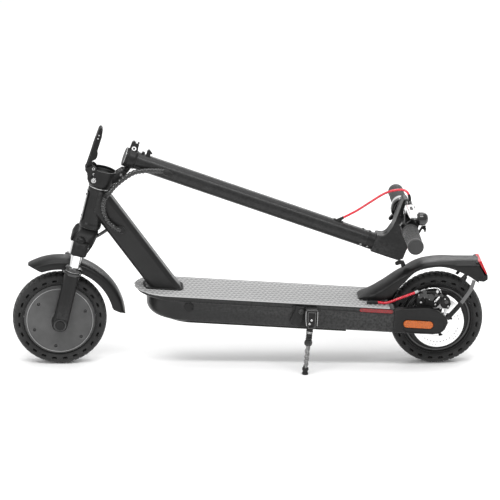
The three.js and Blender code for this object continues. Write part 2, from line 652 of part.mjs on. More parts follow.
// ---------------------------------------------------------------- wiring between stem, frame and fork
const CONDUIT_UPPER = [                 // leaves the stem's underside and bends down behind the collar
  [231, -23, 446], [206, -27, 447], [176, -28, 446], [146, -29, 438], [118, -31, 426], [103, -33, 408],
];
const CONDUIT_LOWER = [
  [101, -33.4, 404.5], [97, -34.5, 388], [99, -35, 366], [108, -35, 347], [122, -35, 334], [136, -34.4, 325],
];
const MOTOR_CABLE = [                   // from the head tube's foot to the fork's crown
  [105.5, -10, 317.5], [101, -11, 314.5], [95, -12, 309], [90, -13, 302],
];
add(scooter, 'cable_conduit_upper', tubeAlong(CONDUIT_UPPER, 5, 10, 14), 'gloss');
add(scooter, 'cable_conduit_lower', tubeAlong(CONDUIT_LOWER, 5, 10, 12), 'gloss');
add(scooter, 'motor_cable', tubeAlong(MOTOR_CABLE, 3, 8, 5), 'gloss');

// ---------------------------------------------------------------- origin under the scooter's middle
scooter.updateMatrixWorld(true);
const extent = new THREE.Box3().setFromObject(scooter);
scooter.position.x = -(extent.min.x + extent.max.x) / 2;
scooter.position.y = -(extent.min.y + extent.max.y) / 2;

export default scooter;
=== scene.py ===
"""Looks of the folded electric kick scooter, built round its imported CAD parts."""
import json
import math

import bmesh
import bpy
from mathutils import Matrix, Vector


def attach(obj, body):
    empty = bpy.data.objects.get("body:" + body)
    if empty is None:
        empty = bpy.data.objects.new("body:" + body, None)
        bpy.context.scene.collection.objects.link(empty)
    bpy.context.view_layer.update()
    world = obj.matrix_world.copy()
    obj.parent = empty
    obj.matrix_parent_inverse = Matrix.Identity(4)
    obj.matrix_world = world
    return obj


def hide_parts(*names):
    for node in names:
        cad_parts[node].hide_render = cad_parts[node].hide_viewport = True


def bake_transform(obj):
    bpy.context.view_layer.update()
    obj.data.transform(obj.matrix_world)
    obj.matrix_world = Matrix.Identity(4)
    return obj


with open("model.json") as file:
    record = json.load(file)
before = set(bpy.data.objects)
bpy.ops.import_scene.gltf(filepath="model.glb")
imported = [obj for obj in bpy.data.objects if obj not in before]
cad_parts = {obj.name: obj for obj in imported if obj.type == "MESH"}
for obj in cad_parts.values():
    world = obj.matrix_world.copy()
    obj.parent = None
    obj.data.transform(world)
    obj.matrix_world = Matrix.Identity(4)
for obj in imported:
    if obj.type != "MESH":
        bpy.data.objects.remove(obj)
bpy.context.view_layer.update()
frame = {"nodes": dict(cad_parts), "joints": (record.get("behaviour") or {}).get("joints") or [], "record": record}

# ---------------------------------------------------------------- places
JOINTS = {joint["name"]: joint for joint in frame["joints"]}
MOUNTS = {mount["name"]: mount for mount in frame["record"]["mounts"]}
UP = (0, 0, 1)
MM = 0.001
COLLAR_ABOVE_STEERING = 90      # collar's top above the steering joint's point, along its axis
LEFT, RIGHT = -1, 1
SIDES = (("left", LEFT), ("right", RIGHT))


def place(origin, up):
    """A frame in millimetres with Y kept and its Z along up, as a matrix into the row frame."""
    z = Vector(up).normalized()
    y = Vector((0, 1, 0))
    turn = Matrix((y.cross(z).normalized(), y, z)).transposed().to_4x4()
    return Matrix.Translation(Vector(origin)) @ turn @ Matrix.Scale(MM, 4)


front_at = Vector(JOINTS["front_wheel_spin"]["pos_m"])
rear_at = Vector(JOINTS["rear_wheel_spin"]["pos_m"])
steer_axis = Vector(JOINTS["steering"]["axis"])
collar_at = Vector(JOINTS["steering"]["pos_m"]) + steer_axis * COLLAR_ABOVE_STEERING * MM

GROUND = place((front_at.x, 0, 0), UP)
FRONT = place(front_at, UP)
REAR = place(rear_at, UP)
FORK = place(front_at, JOINTS["suspension"]["axis"])
COLLAR = place(collar_at, steer_axis)
STEM = place(JOINTS["stem_fold"]["pos_m"], JOINTS["brake_lever_pull"]["axis"])
DECK = place(MOUNTS["deck_top"]["pos_m"], MOUNTS["deck_top"]["axis"])


def seen_from(target, source, point):
    """A point of one frame, in another frame."""
    return target.inverted() @ source @ Vector(point)


# ---------------------------------------------------------------- outlines
def rounded(points, radius, steps=4, closed=True):
    """An outline with arcs for corners. A point's third number is its own radius."""
    result = []
    last = len(points) - 1
    for index, point in enumerate(points):
        here = Vector(point[:2])
        own = point[2] if len(point) > 2 else radius
        if own <= 0 or (not closed and index in (0, last)):
            result.append(tuple(here))
            continue
        before = Vector(points[index - 1][:2]) - here
        after = Vector(points[(index + 1) % len(points)][:2]) - here
        half = before.angle(after) / 2
        if half > math.radians(88):
            result.append(tuple(here))
            continue
        reach = min(own / math.tan(half), before.length * 0.49, after.length * 0.49)
        middle = (before.normalized() + after.normalized()).normalized()
        centre = here + middle * reach / math.cos(half)
        first = here + before.normalized() * reach - centre
        second = here + after.normalized() * reach - centre
        sweep = math.atan2(first.cross(second), first.dot(second))
        for step in range(steps + 1):
            turn = Matrix.Rotation(sweep * step / steps, 2)
            result.append(tuple(centre + turn @ first))
    return result


def circle(radius, sides=48, centre=(0, 0), start=0.0, end=2 * math.pi):
    """Points round a circle, or along an arc with both of its ends."""
    whole = abs(end - start - 2 * math.pi) < 1e-9
    count = sides if whole else sides + 1
    angles = [start + (end - start) * index / sides for index in range(count)]
    return [(centre[0] + radius * math.cos(a), centre[1] + radius * math.sin(a)) for a in angles]


def oval(half_long, half_high, centre=(0, 0), sides=12):
    """A slot outline: two half circles joined by straight sides."""
    straight = half_long - half_high
    right = circle(half_high, sides, (centre[0] + straight, centre[1]), -math.pi / 2, math.pi / 2)
    left = circle(half_high, sides, (centre[0] - straight, centre[1]), math.pi / 2, math.pi * 1.5)
    return right + left


def box_outline(x0, x1, z0, z1, radius=0.0, steps=4):
    return rounded([(x0, z0), (x1, z0), (x1, z1), (x0, z1)], radius, steps)


def shrunk(outline, amount):
    """An outline moved inwards by amount."""
    area = sum(a[0] * b[1] - b[0] * a[1] for a, b in zip(outline, outline[1:] + outline[:1]))
    inward = 1 if area > 0 else -1
    result = []
    for index, point in enumerate(outline):
        here = Vector(point)
        before = (here - Vector(outline[index - 1])).normalized()
        after = (Vector(outline[(index + 1) % len(outline)]) - here).normalized()
        normal = Vector((-before.y - after.y, before.x + after.x)) * inward
        if normal.length < 1e-6:
            result.append(tuple(here))
            continue
        normal.normalize()
        slant = max(0.5, normal.dot(Vector((-after.y, after.x)) * inward))
        result.append(tuple(here + normal * amount / slant))
    return result


def curve_through(points, steps=8):
    """Points on a smooth line through all the given points."""
    knots = [Vector(point) for point in points]
    knots = [knots[0] * 2 - knots[1]] + knots + [knots[-1] * 2 - knots[-2]]
    result = []
    for p0, p1, p2, p3 in zip(knots, knots[1:], knots[2:], knots[3:]):
        for step in range(steps):
            t = step / steps
            result.append(
                0.5 * (2 * p1 + (p2 - p0) * t + (2 * p0 - 5 * p1 + 4 * p2 - p3) * t ** 2
                       + (3 * p1 - p0 - 3 * p2 + p3) * t ** 3)
            )
    result.append(knots[-2])
    return result


# ---------------------------------------------------------------- solids, as (vertices, faces)
def merged(*shapes):
    """Several shapes as one."""
    vertices = []
    faces = []
    for some, sides in shapes:
        start = len(vertices)
        vertices += some
        faces += [tuple(start + index for index in side) for side in sides]
    return vertices, faces


def moved(shape, matrix):
    return [tuple(matrix @ Vector(vertex)) for vertex in shape[0]], shape[1]


def shifted(shape, x=0, y=0, z=0):
    return moved(shape, Matrix.Translation((x, y, z)))


def loft(loops, capped=True):
    """Loops of equally many points, joined in order."""
    count = len(loops[0])
    vertices = [tuple(point) for loop in loops for point in loop]
    faces = []
    for row in range(len(loops) - 1):
        for index in range(count):
            after = (index + 1) % count
            low, high = row * count, (row + 1) * count
            faces.append((low + index, low + after, high + after, high + index))
    if capped:
        faces.append(tuple(range(count))[::-1])
        faces.append(tuple(range((len(loops) - 1) * count, len(loops) * count)))
    else:
        low, high = (len(loops) - 1) * count, 0
        for index in range(count):
            after = (index + 1) % count
            faces.append((low + index, low + after, high + after, high + index))
    return vertices, faces


ALONG = {"x": lambda a, b, h: (h, a, b), "y": lambda a, b, h: (a, h, b), "z": lambda a, b, h: (a, b, h)}


def prism(outline, low, high, edge=1.0, axis="y", steps=3):
    """An outline pulled from low to high along an axis, with rounded edges."""
    low, high = min(low, high), max(low, high)
    edge = min(edge, (high - low) / 2 * 0.98)
    put = ALONG[axis]
    if edge == 0:
        return loft([[put(a, b, h) for a, b in outline] for h in (low, high)])
    rows = []
    for step in range(steps + 1):
        angle = math.pi / 2 * step / steps
        rows.append((edge * (1 - math.sin(angle)), edge * (1 - math.cos(angle))))
    levels = [(inset, low + rise) for inset, rise in rows]
    levels += [(inset, high - rise) for inset, rise in reversed(rows)]
    return loft([[put(a, b, h) for a, b in shrunk(outline, inset)] for inset, h in levels])


def turned(profile, sides=64, axis="z", centre=(0, 0, 0)):
    """A profile of (radius, height) turned round an axis. Its ends are on the axis or it is a ring."""
    ring = profile[0] == profile[-1]
    points = profile[:-1] if ring else profile
    directions = circle(1, sides)
    put = ALONG[axis]
    loops = []
    for radius, height in points:
        size = max(radius, 1e-3)
        loops.append([Vector(put(size * c, size * s, height)) + Vector(centre) for c, s in directions])
    return loft(loops, capped=not ring)


def ring(radius, thick, height=0.0, axis="z", centre=(0, 0, 0), sides=64):
    """A round ring of round section."""
    profile = circle(thick, 12, (radius, height))
    return turned(profile + profile[:1], sides, axis, centre)


def band(inner, outer, low, high, edge=0.5, sides=64, axis="z", centre=(0, 0, 0)):
    """A flat ring with rounded edges."""
    profile = box_outline(inner, outer, low, high, edge, 2)
    return turned(profile + profile[:1], sides, axis, centre)


def sweep(points, radius, sides=16, steps=8, section=None, twist=0.0):
    """A bar along a smooth line. The radius is a number or a function of the share of the way."""
    path = curve_through(points, steps)
    shape = section or circle(1, sides)
    tangents = []
    for index, point in enumerate(path):
        before = path[max(0, index - 1)]
        after = path[min(len(path) - 1, index + 1)]
        tangents.append((after - before).normalized())
    side = Vector((0, 1, 0)).cross(tangents[0])
    if side.length < 0.1:
        side = Vector((1, 0, 0)).cross(tangents[0])
    loops = []
    for index, (point, tangent) in enumerate(zip(path, tangents)):
        side = (side - tangent * side.dot(tangent)).normalized()
        other = tangent.cross(side)
        share = index / (len(path) - 1)
        size = radius(share) if callable(radius) else radius
        turn = twist * share
        loop = []
        for a, b in shape:
            across = a * math.cos(turn) - b * math.sin(turn)
            over = a * math.sin(turn) + b * math.cos(turn)
            loop.append(point + side * across * size + other * over * size)
        loops.append(loop)
    return loft(loops)


def aimed(shape, at, direction):
    """A shape made along Z, stood at a point and turned to a direction."""
    turn = Vector(direction).normalized().to_track_quat("Z", "Y").to_matrix().to_4x4()
    return moved(shape, Matrix.Translation(Vector(at)) @ turn)


def bolt_head(at, direction, radius=3.0, height=2.0):
    """A button head with a six-sided socket."""
    sides = 24
    loops = [[(x, y, 0) for x, y in circle(radius, sides)]]
    for angle in (0, 30, 60, 85):
        a = math.radians(angle)
        size = radius * (0.72 + 0.28 * math.cos(a))
        loops.append([(x, y, height * (0.35 + 0.65 * math.sin(a))) for x, y in circle(size, sides)])
    flat = radius * 0.48
    for z in (height, height * 0.25):
        loop = []
        for x, y in circle(1, sides):
            angle = math.atan2(y, x) % (math.pi / 3) - math.pi / 6
            loop.append((x * flat / math.cos(angle), y * flat / math.cos(angle), z))
        loops.append(loop)
    return aimed(loft(loops), at, direction)


def disc(radius, low, high, edge=0.6, axis="z", centre=(0, 0, 0), sides=48):
    """A round plate with rounded edges."""
    outline = circle(radius, sides)
    return shifted(prism(outline, low, high, edge, axis), *centre)


def spring(start, end, radius, wire, coils, sides=8):
    """A coil spring between two points."""
    start, end = Vector(start), Vector(end)
    run = end - start
    across = run.cross(Vector((0, 1, 0.1))).normalized()
    other = run.normalized().cross(across)
    count = int(coils * 12)
    points = []
    for index in range(count + 1):
        angle = 2 * math.pi * index / 12
        middle = start + run * index / count
        points.append(middle + across * radius * math.cos(angle) + other * radius * math.sin(angle))
    return sweep(points, wire, sides, 2)


# ---------------------------------------------------------------- objects
def raw_object(name, where, shape):
    """A mesh object from a shape in a frame, its doubled points joined."""
    mesh = bpy.data.meshes.new(name)
    mesh.from_pydata([where @ Vector(vertex) for vertex in shape[0]], [], shape[1])
    mesh.update()
    built = bmesh.new()
    built.from_mesh(mesh)
    bmesh.ops.remove_doubles(built, verts=built.verts, dist=2e-6)
    bmesh.ops.recalc_face_normals(built, faces=built.faces)
    built.to_mesh(mesh)
    built.free()
    thing = bpy.data.objects.new(name, mesh)
    bpy.context.scene.collection.objects.link(thing)
    return thing


def carve(thing, where, cutters):
    """Cuts shapes out of an object's mesh, one after another."""
    for shape in cutters:
        cutter = raw_object("cutter", where, shape)
        modifier = thing.modifiers.new("carve", "BOOLEAN")
        modifier.operation = "DIFFERENCE"
        modifier.solver = "EXACT"
        modifier.object = cutter
        depsgraph = bpy.context.evaluated_depsgraph_get()
        result = bpy.data.meshes.new_from_object(thing.evaluated_get(depsgraph))
        thing.modifiers.remove(modifier)
        old = thing.data
        thing.data = result
        bpy.data.meshes.remove(old)
        bpy.data.objects.remove(cutter)


def smooth(thing, sharp=38):
    """Smooth shading with sharp edges kept where faces meet at more than an angle."""
    built = bmesh.new()
    built.from_mesh(thing.data)
    for face in built.faces:
        face.smooth = True
    limit = math.radians(sharp)
    for edge in built.edges:
        edge.smooth = len(edge.link_faces) == 2 and edge.calc_face_angle(0) < limit
    built.to_mesh(thing.data)
    built.free()
    weighted = thing.modifiers.new("flat faces stay flat", "WEIGHTED_NORMAL")
    weighted.keep_sharp = True


def make(name, where, shape, body, look, stands_for=(), cuts=(), sharp=38):
    """One piece: its mesh, its finish, the body it moves with and the CAD nodes it stands for."""
    thing = raw_object(name, where, shape)
    if cuts:
        carve(thing, where, cuts)
    smooth(thing, sharp)
    thing.data.materials.clear()
    thing.data.materials.append(LOOKS[look])
    if body:
        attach(thing, body)
    if stands_for:
        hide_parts(*stands_for)
    return thing


# ---------------------------------------------------------------- materials
def linear(value):
    """A display value of 0 to 255 as scene light."""
    share = value / 255
    return share / 12.92 if share <= 0.04045 else ((share + 0.055) / 1.055) ** 2.4


def colour(*values):
    channels = values * 3 if len(values) == 1 else values
    return (*[linear(value) for value in channels], 1)


class Look:
    """A node material under construction."""

    def __init__(self, name):
        self.material = bpy.data.materials.new(name)
        self.material.use_nodes = True
        self.nodes = self.material.node_tree.nodes
        self.links = self.material.node_tree.links
        self.shader = self.nodes["Principled BSDF"]
        self.place = self.nodes.new("ShaderNodeTexCoord").outputs["Object"]
        self.normal = None

    def node(self, kind, inputs=None, **settings):
        made = self.nodes.new("ShaderNode" + kind)
        for key, value in settings.items():
            setattr(made, key, value)
        for key, value in (inputs or {}).items():
            if hasattr(value, "is_output"):
                self.links.new(value, made.inputs[key])
            else:
                made.inputs[key].default_value = value
        return made

    def noise(self, scale, detail=3, roughness=0.55, place=None, distortion=0.0):
        inputs = {"Vector": place or self.place, "Scale": scale, "Detail": detail,
                  "Roughness": roughness, "Distortion": distortion}
        return self.node("TexNoise", inputs).outputs["Fac"]

    def spread(self, value, low, high, start=0.3, end=0.7):
        inputs = {"Value": value, "From Min": start, "From Max": end, "To Min": low, "To Max": high}
        return self.node("MapRange", inputs).outputs["Result"]

    def math(self, operation, first, second):
        made = self.node("Math", operation=operation)
        for index, value in enumerate((first, second)):
            if hasattr(value, "is_output"):
                self.links.new(value, made.inputs[index])
            else:
                made.inputs[index].default_value = value
        return made.outputs["Value"]

    def mix(self, share, first, second):
        made = self.node("Mix", data_type="RGBA")
        for socket, value in ((made.inputs[0], share), (made.inputs[6], first), (made.inputs[7], second)):
            if hasattr(value, "is_output"):
                self.links.new(value, socket)
            else:
                socket.default_value = value
        return made.outputs[2]

    def bump(self, height, strength, distance):
        """Adds relief. The distance is in metres."""
        inputs = {"Height": height, "Strength": strength, "Distance": distance}
        if self.normal is not None:
            inputs["Normal"] = self.normal
        self.normal = self.node("Bump", inputs).outputs["Normal"]
        self.links.new(self.normal, self.shader.inputs["Normal"])

    def set(self, name, value):
        if hasattr(value, "is_output"):
            self.links.new(value, self.shader.inputs[name])
        else:
            self.shader.inputs[name].default_value = value

    def worn_edges(self, amount):
        """0 on flats, up to amount on outward edges, broken up by noise."""
        pointed = self.node("NewGeometry").outputs["Pointiness"]
        edge = self.spread(pointed, 0, amount, 0.52, 0.62)
        return self.math("MULTIPLY", edge, self.spread(self.noise(180, 4), 0, 1, 0.35, 0.6))


def powder_coat(name, tone, rough, grain=0.35, coat=0.0, edge_tone=95, grain_scale=1500):
    """Paint on metal: a fine orange peel, faint mottling and slightly rubbed edges."""
    look = Look(name)
    mottle = look.mix(look.spread(look.noise(22, 4), 0, 1), colour(tone * 0.9), colour(tone * 1.1))
    look.set("Base Color", look.mix(look.worn_edges(0.35), mottle, colour(edge_tone)))
    smudge = look.spread(look.noise(60, 5, distortion=0.6), rough * 0.88, rough * 1.12)
    look.set("Roughness", smudge)
    look.set("Metallic", 0.0)
    look.set("Specular IOR Level", 0.26)
    look.set("Coat Weight", coat)
    look.set("Coat Roughness", 0.25)
    look.bump(look.noise(grain_scale, 2), grain, 0.00012)
    return look.material


def plastic(name, tone, rough, grain=0.4, grain_scale=2200):
    """Moulded plastic with a fine leather grain and light scuffs."""
    look = Look(name)
    cells = look.node("TexVoronoi", {"Vector": look.place, "Scale": grain_scale}).outputs["Distance"]
    look.set("Base Color", look.mix(look.spread(look.noise(18, 4), 0, 1), colour(tone * 0.92),
                                    colour(tone * 1.08)))
    look.set("Roughness", look.spread(look.noise(75, 5, distortion=0.4), rough * 0.85, rough * 1.15))
    look.set("Specular IOR Level", 0.25)
    look.bump(cells, grain, 0.0001)
    look.bump(look.noise(9, 2), 0.05, 0.002)
    return look.material


def gloss(name, tone, rough=0.12, red=None):
    """Polished plastic with faint wiping marks."""
    look = Look(name)
    base = red or (tone, tone, tone)
    lower = [value * 0.9 for value in base]
    look.set("Base Color", look.mix(look.spread(look.noise(30, 3), 0, 1), colour(*lower), colour(*base)))
    look.set("Roughness", look.spread(look.noise(140, 6, distortion=1.2), rough * 0.6, rough * 1.6))
    look.set("Coat Weight", 0.5)
    look.set("Coat Roughness", 0.05)
    look.bump(look.noise(40, 2), 0.04, 0.001)
    return look.material


def rubber(name, tone, rough=0.75, scale=900, relief=0.5, dust=0.25):
    """Matt rubber with a pitted skin and a little pale dust."""
    look = Look(name)
    dusty = look.math("MULTIPLY", look.spread(look.noise(26, 6), 0, 1, 0.42, 0.75), dust)
    look.set("Base Color", look.mix(dusty, colour(tone), colour(tone * 1.8)))
    look.set("Roughness", look.spread(look.noise(70, 4), rough * 0.9, min(1, rough * 1.12)))
    look.set("Sheen Weight", 0.12)
    look.set("Sheen Roughness", 0.5)
    look.set("Specular IOR Level", 0.22)
    look.bump(look.noise(scale, 4), relief, 0.00015)
    return look.material


def metal(name, tone, rough, brushed=0.0, tarnish=0.12, scale=(40, 900, 40)):
    """Bare metal with brushing lines and faint tarnish."""
    look = Look(name)
    stain = look.math("MULTIPLY", look.spread(look.noise(55, 6), 0, 1, 0.4, 0.7), tarnish)
    look.set("Base Color", look.mix(stain, colour(tone), colour(tone * 0.62)))
    look.set("Metallic", 1.0)
    look.set("Roughness", look.spread(look.noise(160, 5), rough * 0.75, rough * 1.3))
    stretched = look.node("Mapping", {"Vector": look.place, "Scale": scale}).outputs["Vector"]
    look.bump(look.noise(1, 4, place=stretched), 0.05 + brushed, 0.0001)
    return look.material


def lens(name, tint, cell=420, depth=0.0006, coat=0.5):
    """A prismatic lens: tinted plastic over a honeycomb of small faces."""
    look = Look(name)
    cells = look.node("TexVoronoi", {"Vector": look.place, "Scale": cell}, feature="F1",
                      distance="CHEBYCHEV")
    shade = look.spread(cells.outputs["Distance"], 0, 1, 0.1, 0.7)
    darker = [value * 0.72 for value in tint]
    look.set("Base Color", look.mix(shade, colour(*tint), colour(*darker)))
    look.set("Roughness", look.spread(look.noise(90, 3), 0.1, 0.22))
    look.set("Coat Weight", coat)
    look.set("Coat Roughness", 0.06)
    look.set("Specular IOR Level", 0.4)
    look.bump(cells.outputs["Distance"], 0.5, depth)
    return look.material


def winding():
    """Lacquered copper coils."""
    look = Look("copper_winding")
    turns = look.node("TexWave", {"Vector": look.place, "Scale": 300.0, "Distortion": 1.5})
    look.set("Base Color", look.mix(turns.outputs["Fac"], colour(150, 84, 48), colour(205, 130, 82)))
    look.set("Metallic", 0.9)
    look.set("Roughness", look.spread(look.noise(80), 0.25, 0.45))
    look.bump(turns.outputs["Fac"], 0.6, 0.0003)
    return look.material


def deck_rubber():
    """Pale grip rubber with foot marks; the valleys of the waves carry painted shade."""
    look = Look("deck_rubber")
    marks = look.math("MULTIPLY", look.spread(look.noise(14, 6, distortion=0.5), 0, 1, 0.45, 0.7), 0.10)
    depth = look.node("Attribute", attribute_name="depth").outputs["Fac"]
    base = look.mix(marks, colour(182), colour(160))
    # painted shade: the deeper the wave's valley, the more the colour goes to tone 112
    look.set("Base Color", look.mix(look.spread(depth, 0, 0.85, 0.1, 1), base, colour(112)))
    look.set("Roughness", look.spread(look.noise(120, 4), 0.62, 0.8))
    look.set("Sheen Weight", 0.1)
    look.bump(look.noise(1400, 3), 0.35, 0.00012)
    return look.material


LOOKS = {
    "paint": powder_coat("frame_paint", 24, 0.33, grain=0.1, coat=0.06),
    "cast": powder_coat("cast_paint", 20, 0.4, grain=0.22, grain_scale=1100),
    "textured": powder_coat("textured_paint", 12, 0.5, grain=0.6, grain_scale=700),
    "plastic": plastic("black_plastic", 20, 0.34),
    "dark": plastic("dark_plastic", 16, 0.42),
    "gloss": gloss("gloss_black", 10),
    "conduit": gloss("conduit_plastic", 14, 0.18),
    "mat": deck_rubber(),
    "tyre": rubber("tyre_rubber", 38, 0.7, 700, 0.6),
    "grip": rubber("grip_rubber", 56, 0.62, 1300, 0.5, 0.1),
    "soft": rubber("soft_rubber", 24, 0.6),
    "motor": powder_coat("motor_case", 76, 0.42, grain=0.15, edge_tone=140),
    "copper": winding(),
    "wrap": gloss("battery_wrap", 0, 0.3, (38, 72, 130)),
    "steel": metal("bare_steel", 196, 0.28, 0.06),
    "zinc": metal("dark_zinc", 138, 0.3, 0.06, 0.3),
    "lever": metal("brushed_alloy", 240, 0.3, 0.06, 0.03),
    "chrome": metal("bright_chrome", 246, 0.1, 0.0, 0.03),
    "disc": metal("disc_steel", 250, 0.42, 0.08, 0.04),
    "rim_line": powder_coat("machined_line", 150, 0.35, grain=0.1, edge_tone=190),
    "dark_steel": metal("black_oxide", 72, 0.32, 0.05, 0.3),
    "silver": plastic("silver_plastic", 172, 0.35, 0.2),
    "strut": powder_coat("strut_paint", 96, 0.45, grain=0.2, edge_tone=120),
    "red": gloss("signal_red", 0, 0.25, (204, 14, 42)),
    "red_lens": lens("red_lens", (206, 6, 30), 300, 0.0004, 0.1),
    "deep_red": lens("strip_lens", (138, 14, 20), 260, 0.0004, 0.3),
    "amber": lens("amber_lens", (200, 96, 8), 420, 0.0005, 0.25),
}
INNER_NODES = {
    "battery_pack": "wrap", "motor_controller": "motor",
    "motor_stator": "copper", "rear_axle": "steel", "fold_pin": "steel",
}

# ---------------------------------------------------------------- wheels
TYRE_TOP = 107.5
BEAD = 82.3
SLOT_RADIUS = 93
SLOT_COUNT = 24
SLOT_HALF_LONG = 5.6
SLOT_HALF_HIGH = 2.5
SLOT_DEPTH = 9
STEPS_PER_SLOT = 20
HUB_SCREWS_RADIUS = 62
HUB_SCREWS_FROM = 81.5
DISC_FACES = (-40.4, -38.4)


def eased(value, start, end):
    """0 before start, 1 after end and a smooth step between."""
    share = min(1, max(0, (value - start) / (end - start)))
    return share * share * (3 - 2 * share)


def slot_depth(radius, along):
    """How deep the sidewall's openings are at a radius and at a distance round the wheel."""
    straight = SLOT_HALF_LONG - SLOT_HALF_HIGH
    away = math.hypot(max(0, abs(along) - straight), radius - SLOT_RADIUS)
    return SLOT_DEPTH * (1 - eased(away, SLOT_HALF_HIGH - 0.4, SLOT_HALF_HIGH + 0.5))


def tread_depth(step, across):
    """Grooves round the crown, and blocks along both shoulders."""
    round_groove = 1.3 * (1 - eased(abs(abs(across) - 6.5), 0.4, 1.4))
    shoulder = eased(abs(across), 8, 9.5) * (1 - eased(abs(across), 20, 21.5))
    block_gap = 1.6 * shoulder if step % 10 in (4, 5) else 0
    middle_gap = 1.0 * (1 - eased(abs(across), 4.5, 6)) if step % 10 in (9, 0) else 0
    return max(round_groove, block_gap, middle_gap)


def tyre_shape():
    """A honeycomb tyre: a turned section with sidewall openings and tread pressed in."""
    half = [(BEAD, 13), (83, 17), (85, 20), (88.5, 22.6), (94, 23.9), (99.5, 22.9), (103.5, 19.6),
            (106, 14), (107.2, 7), (TYRE_TOP, 0)]
    line = [tuple(point) for point in curve_through(half, 6)]
    profile = line + [(r, -y) for r, y in reversed(line[:-1])]
    count = SLOT_COUNT * STEPS_PER_SLOT
    loops = []
    for step in range(count):
        angle = 2 * math.pi * step / count
        from_slot = (step % STEPS_PER_SLOT) - STEPS_PER_SLOT / 2
        along = from_slot / count * 2 * math.pi * SLOT_RADIUS
        loop = []
        for radius, across in profile:
            size = radius - (tread_depth(step, across) if radius > 98 else 0)
            depth = slot_depth(radius, along) if abs(across) > 19 else 0
            shift = across - math.copysign(depth, across)
            loop.append((size * math.cos(angle), shift, size * math.sin(angle)))
        loops.append(loop)
    return loft(loops, capped=False)


def front_wheel():
    make("front_tyre_moulded", FRONT, tyre_shape(), "front_wheel", "tyre", ["front_tyre"], sharp=60)
    half = [(7.6, 31), (7.6, 32.6), (20.6, 32.6), (22.6, 31.4), (23.2, 28.4), (24.6, 27.8),
            (58, 26.2), (72.6, 25.2), (73.4, 24.4), (77, 24.2), (77.4, 22), (79.3, 21.4), (79.8, 19),
            (81.3, 18.2), (82, 16)]
    profile = rounded(half, 0.5, 2, closed=False)
    inner = [(82, 0), *[(r, -y) for r, y in reversed(profile)], (7.6, 31)]
    wells = []
    heads = []
    for step in range(6):
        angle = math.radians(HUB_SCREWS_FROM + 60 * step)
        x, z = HUB_SCREWS_RADIUS * math.cos(angle), HUB_SCREWS_RADIUS * math.sin(angle)
        for side in (LEFT, RIGHT):
            wells.append(aimed(disc(3.9, 0, 6, 0.3), (x, side * 23.4, z), (0, side, 0)))
            heads.append(bolt_head((x, side * 23.3, z), (0, side, 0), 3.1, 1.6))
    make("hub_motor_cover", FRONT, turned(profile + inner, 144, "y"), "front_wheel", "motor",
         ["hub_motor_case"], cuts=wells, sharp=30)
    make("hub_screws", FRONT, merged(*heads), "front_wheel", "dark_steel")
    rims = [band(74.6, 75.8, side * 24.0, side * 24.9, 0.3, 144, "y") for _, side in SIDES]
    make("hub_bright_rings", FRONT, merged(*rims), "front_wheel", "rim_line")
    seals = [band(9.5, 19, side * 32.2, side * 33.2, 0.4, 64, "y") for _, side in SIDES]
    make("hub_axle_seals", FRONT, merged(*seals), "front_wheel", "soft")


def rear_wheel():
    make("rear_tyre_moulded", REAR, tyre_shape(), "rear_wheel", "tyre", ["rear_tyre"], sharp=60)
    rim = rounded([(61, 13), (63, 15.5), (70, 16.2), (72, 14.4), (78, 14.4), (80, 17.6), (82, 17.6),
                   (82, -17.6), (80, -17.6), (78, -14.4), (72, -14.4), (70, -16.2), (63, -15.5),
                   (61, -13)], 0.8, 2)
    hub = rounded([(6.6, 34), (14, 34), (15, 32), (15, -36), (14, -38), (6.6, -38)], 0.6, 2)
    spoke = rounded([(12, -9), (24, -7), (62, -5.6), (62, 5.6), (24, 7), (12, 9)], 3)
    arms = []
    for step in range(5):
        turn = Matrix.Rotation(2 * math.pi * step / 5, 4, "Y")
        arms.append(moved(prism(spoke, -6.5, 6.5, 2.4), turn))
    shape = merged(turned(rim + rim[:1], 144, "y"), turned(hub + hub[:1], 48, "y"), *arms)
    make("rear_rim_cast", REAR, shape, "rear_wheel", "paint", ["rear_rim"])
    bright = [band(73.6, 76.4, side * 13.8, side * 15.0, 0.3, 144, "y") for _, side in SIDES]
    make("rear_rim_line", REAR, merged(*bright), "rear_wheel", "motor")


def brake_disc():
    near, far = DISC_FACES
    plate = band(34, 60, near, far, 0.4, 120, "y")
    holes = []
    for step in range(40):
        angle = 2 * math.pi * step / 40
        at = (48 * math.cos(angle), -44, 48 * math.sin(angle))
        holes.append(aimed(disc(1.5, 0, 9, 0.1, sides=12), at, (0, 1, 0)))
    for step in range(6):
        angle = 2 * math.pi * step / 6 + 0.35
        for radius, count in ((55, 3), (40.5, 2)):
            for index in range(count):
                spot = angle + (index - 1) * 0.12
                at = (radius * math.cos(spot), -44, radius * math.sin(spot))
                holes.append(aimed(disc(1.1, 0, 9, 0.1, sides=10), at, (0, 1, 0)))
    make("brake_disc_drilled", REAR, plate, "rear_wheel", "disc", ["brake_disc"], cuts=holes)
    parts = [band(6.8, 17, near, far, 0.3, 48, "y")]
    for step in range(6):
        turn = Matrix.Rotation(math.pi / 3 * step, 4, "Y")
        arm = rounded([(14, -6), (24, -7), (35, -4), (35, 5), (24, -1), (14, 3)], 2)
        parts.append(moved(prism(arm, near, far, 0.4), turn))
    make("brake_disc_arms", REAR, merged(*parts), "rear_wheel", "disc")
    bolts = []
    for step in range(6):
        angle = math.pi / 3 * step + 0.2
        bolts.append(bolt_head((13 * math.cos(angle), near, 13 * math.sin(angle)), (0, -1, 0), 1.9, 1.4))
    make("brake_disc_bolts", REAR, merged(*bolts), "rear_wheel", "dark_steel")


# ---------------------------------------------------------------- fork and front fender
LEG_SPACING = 48                 # from the middle to each leg's axis
STANCHION_RADIUS = 12.4


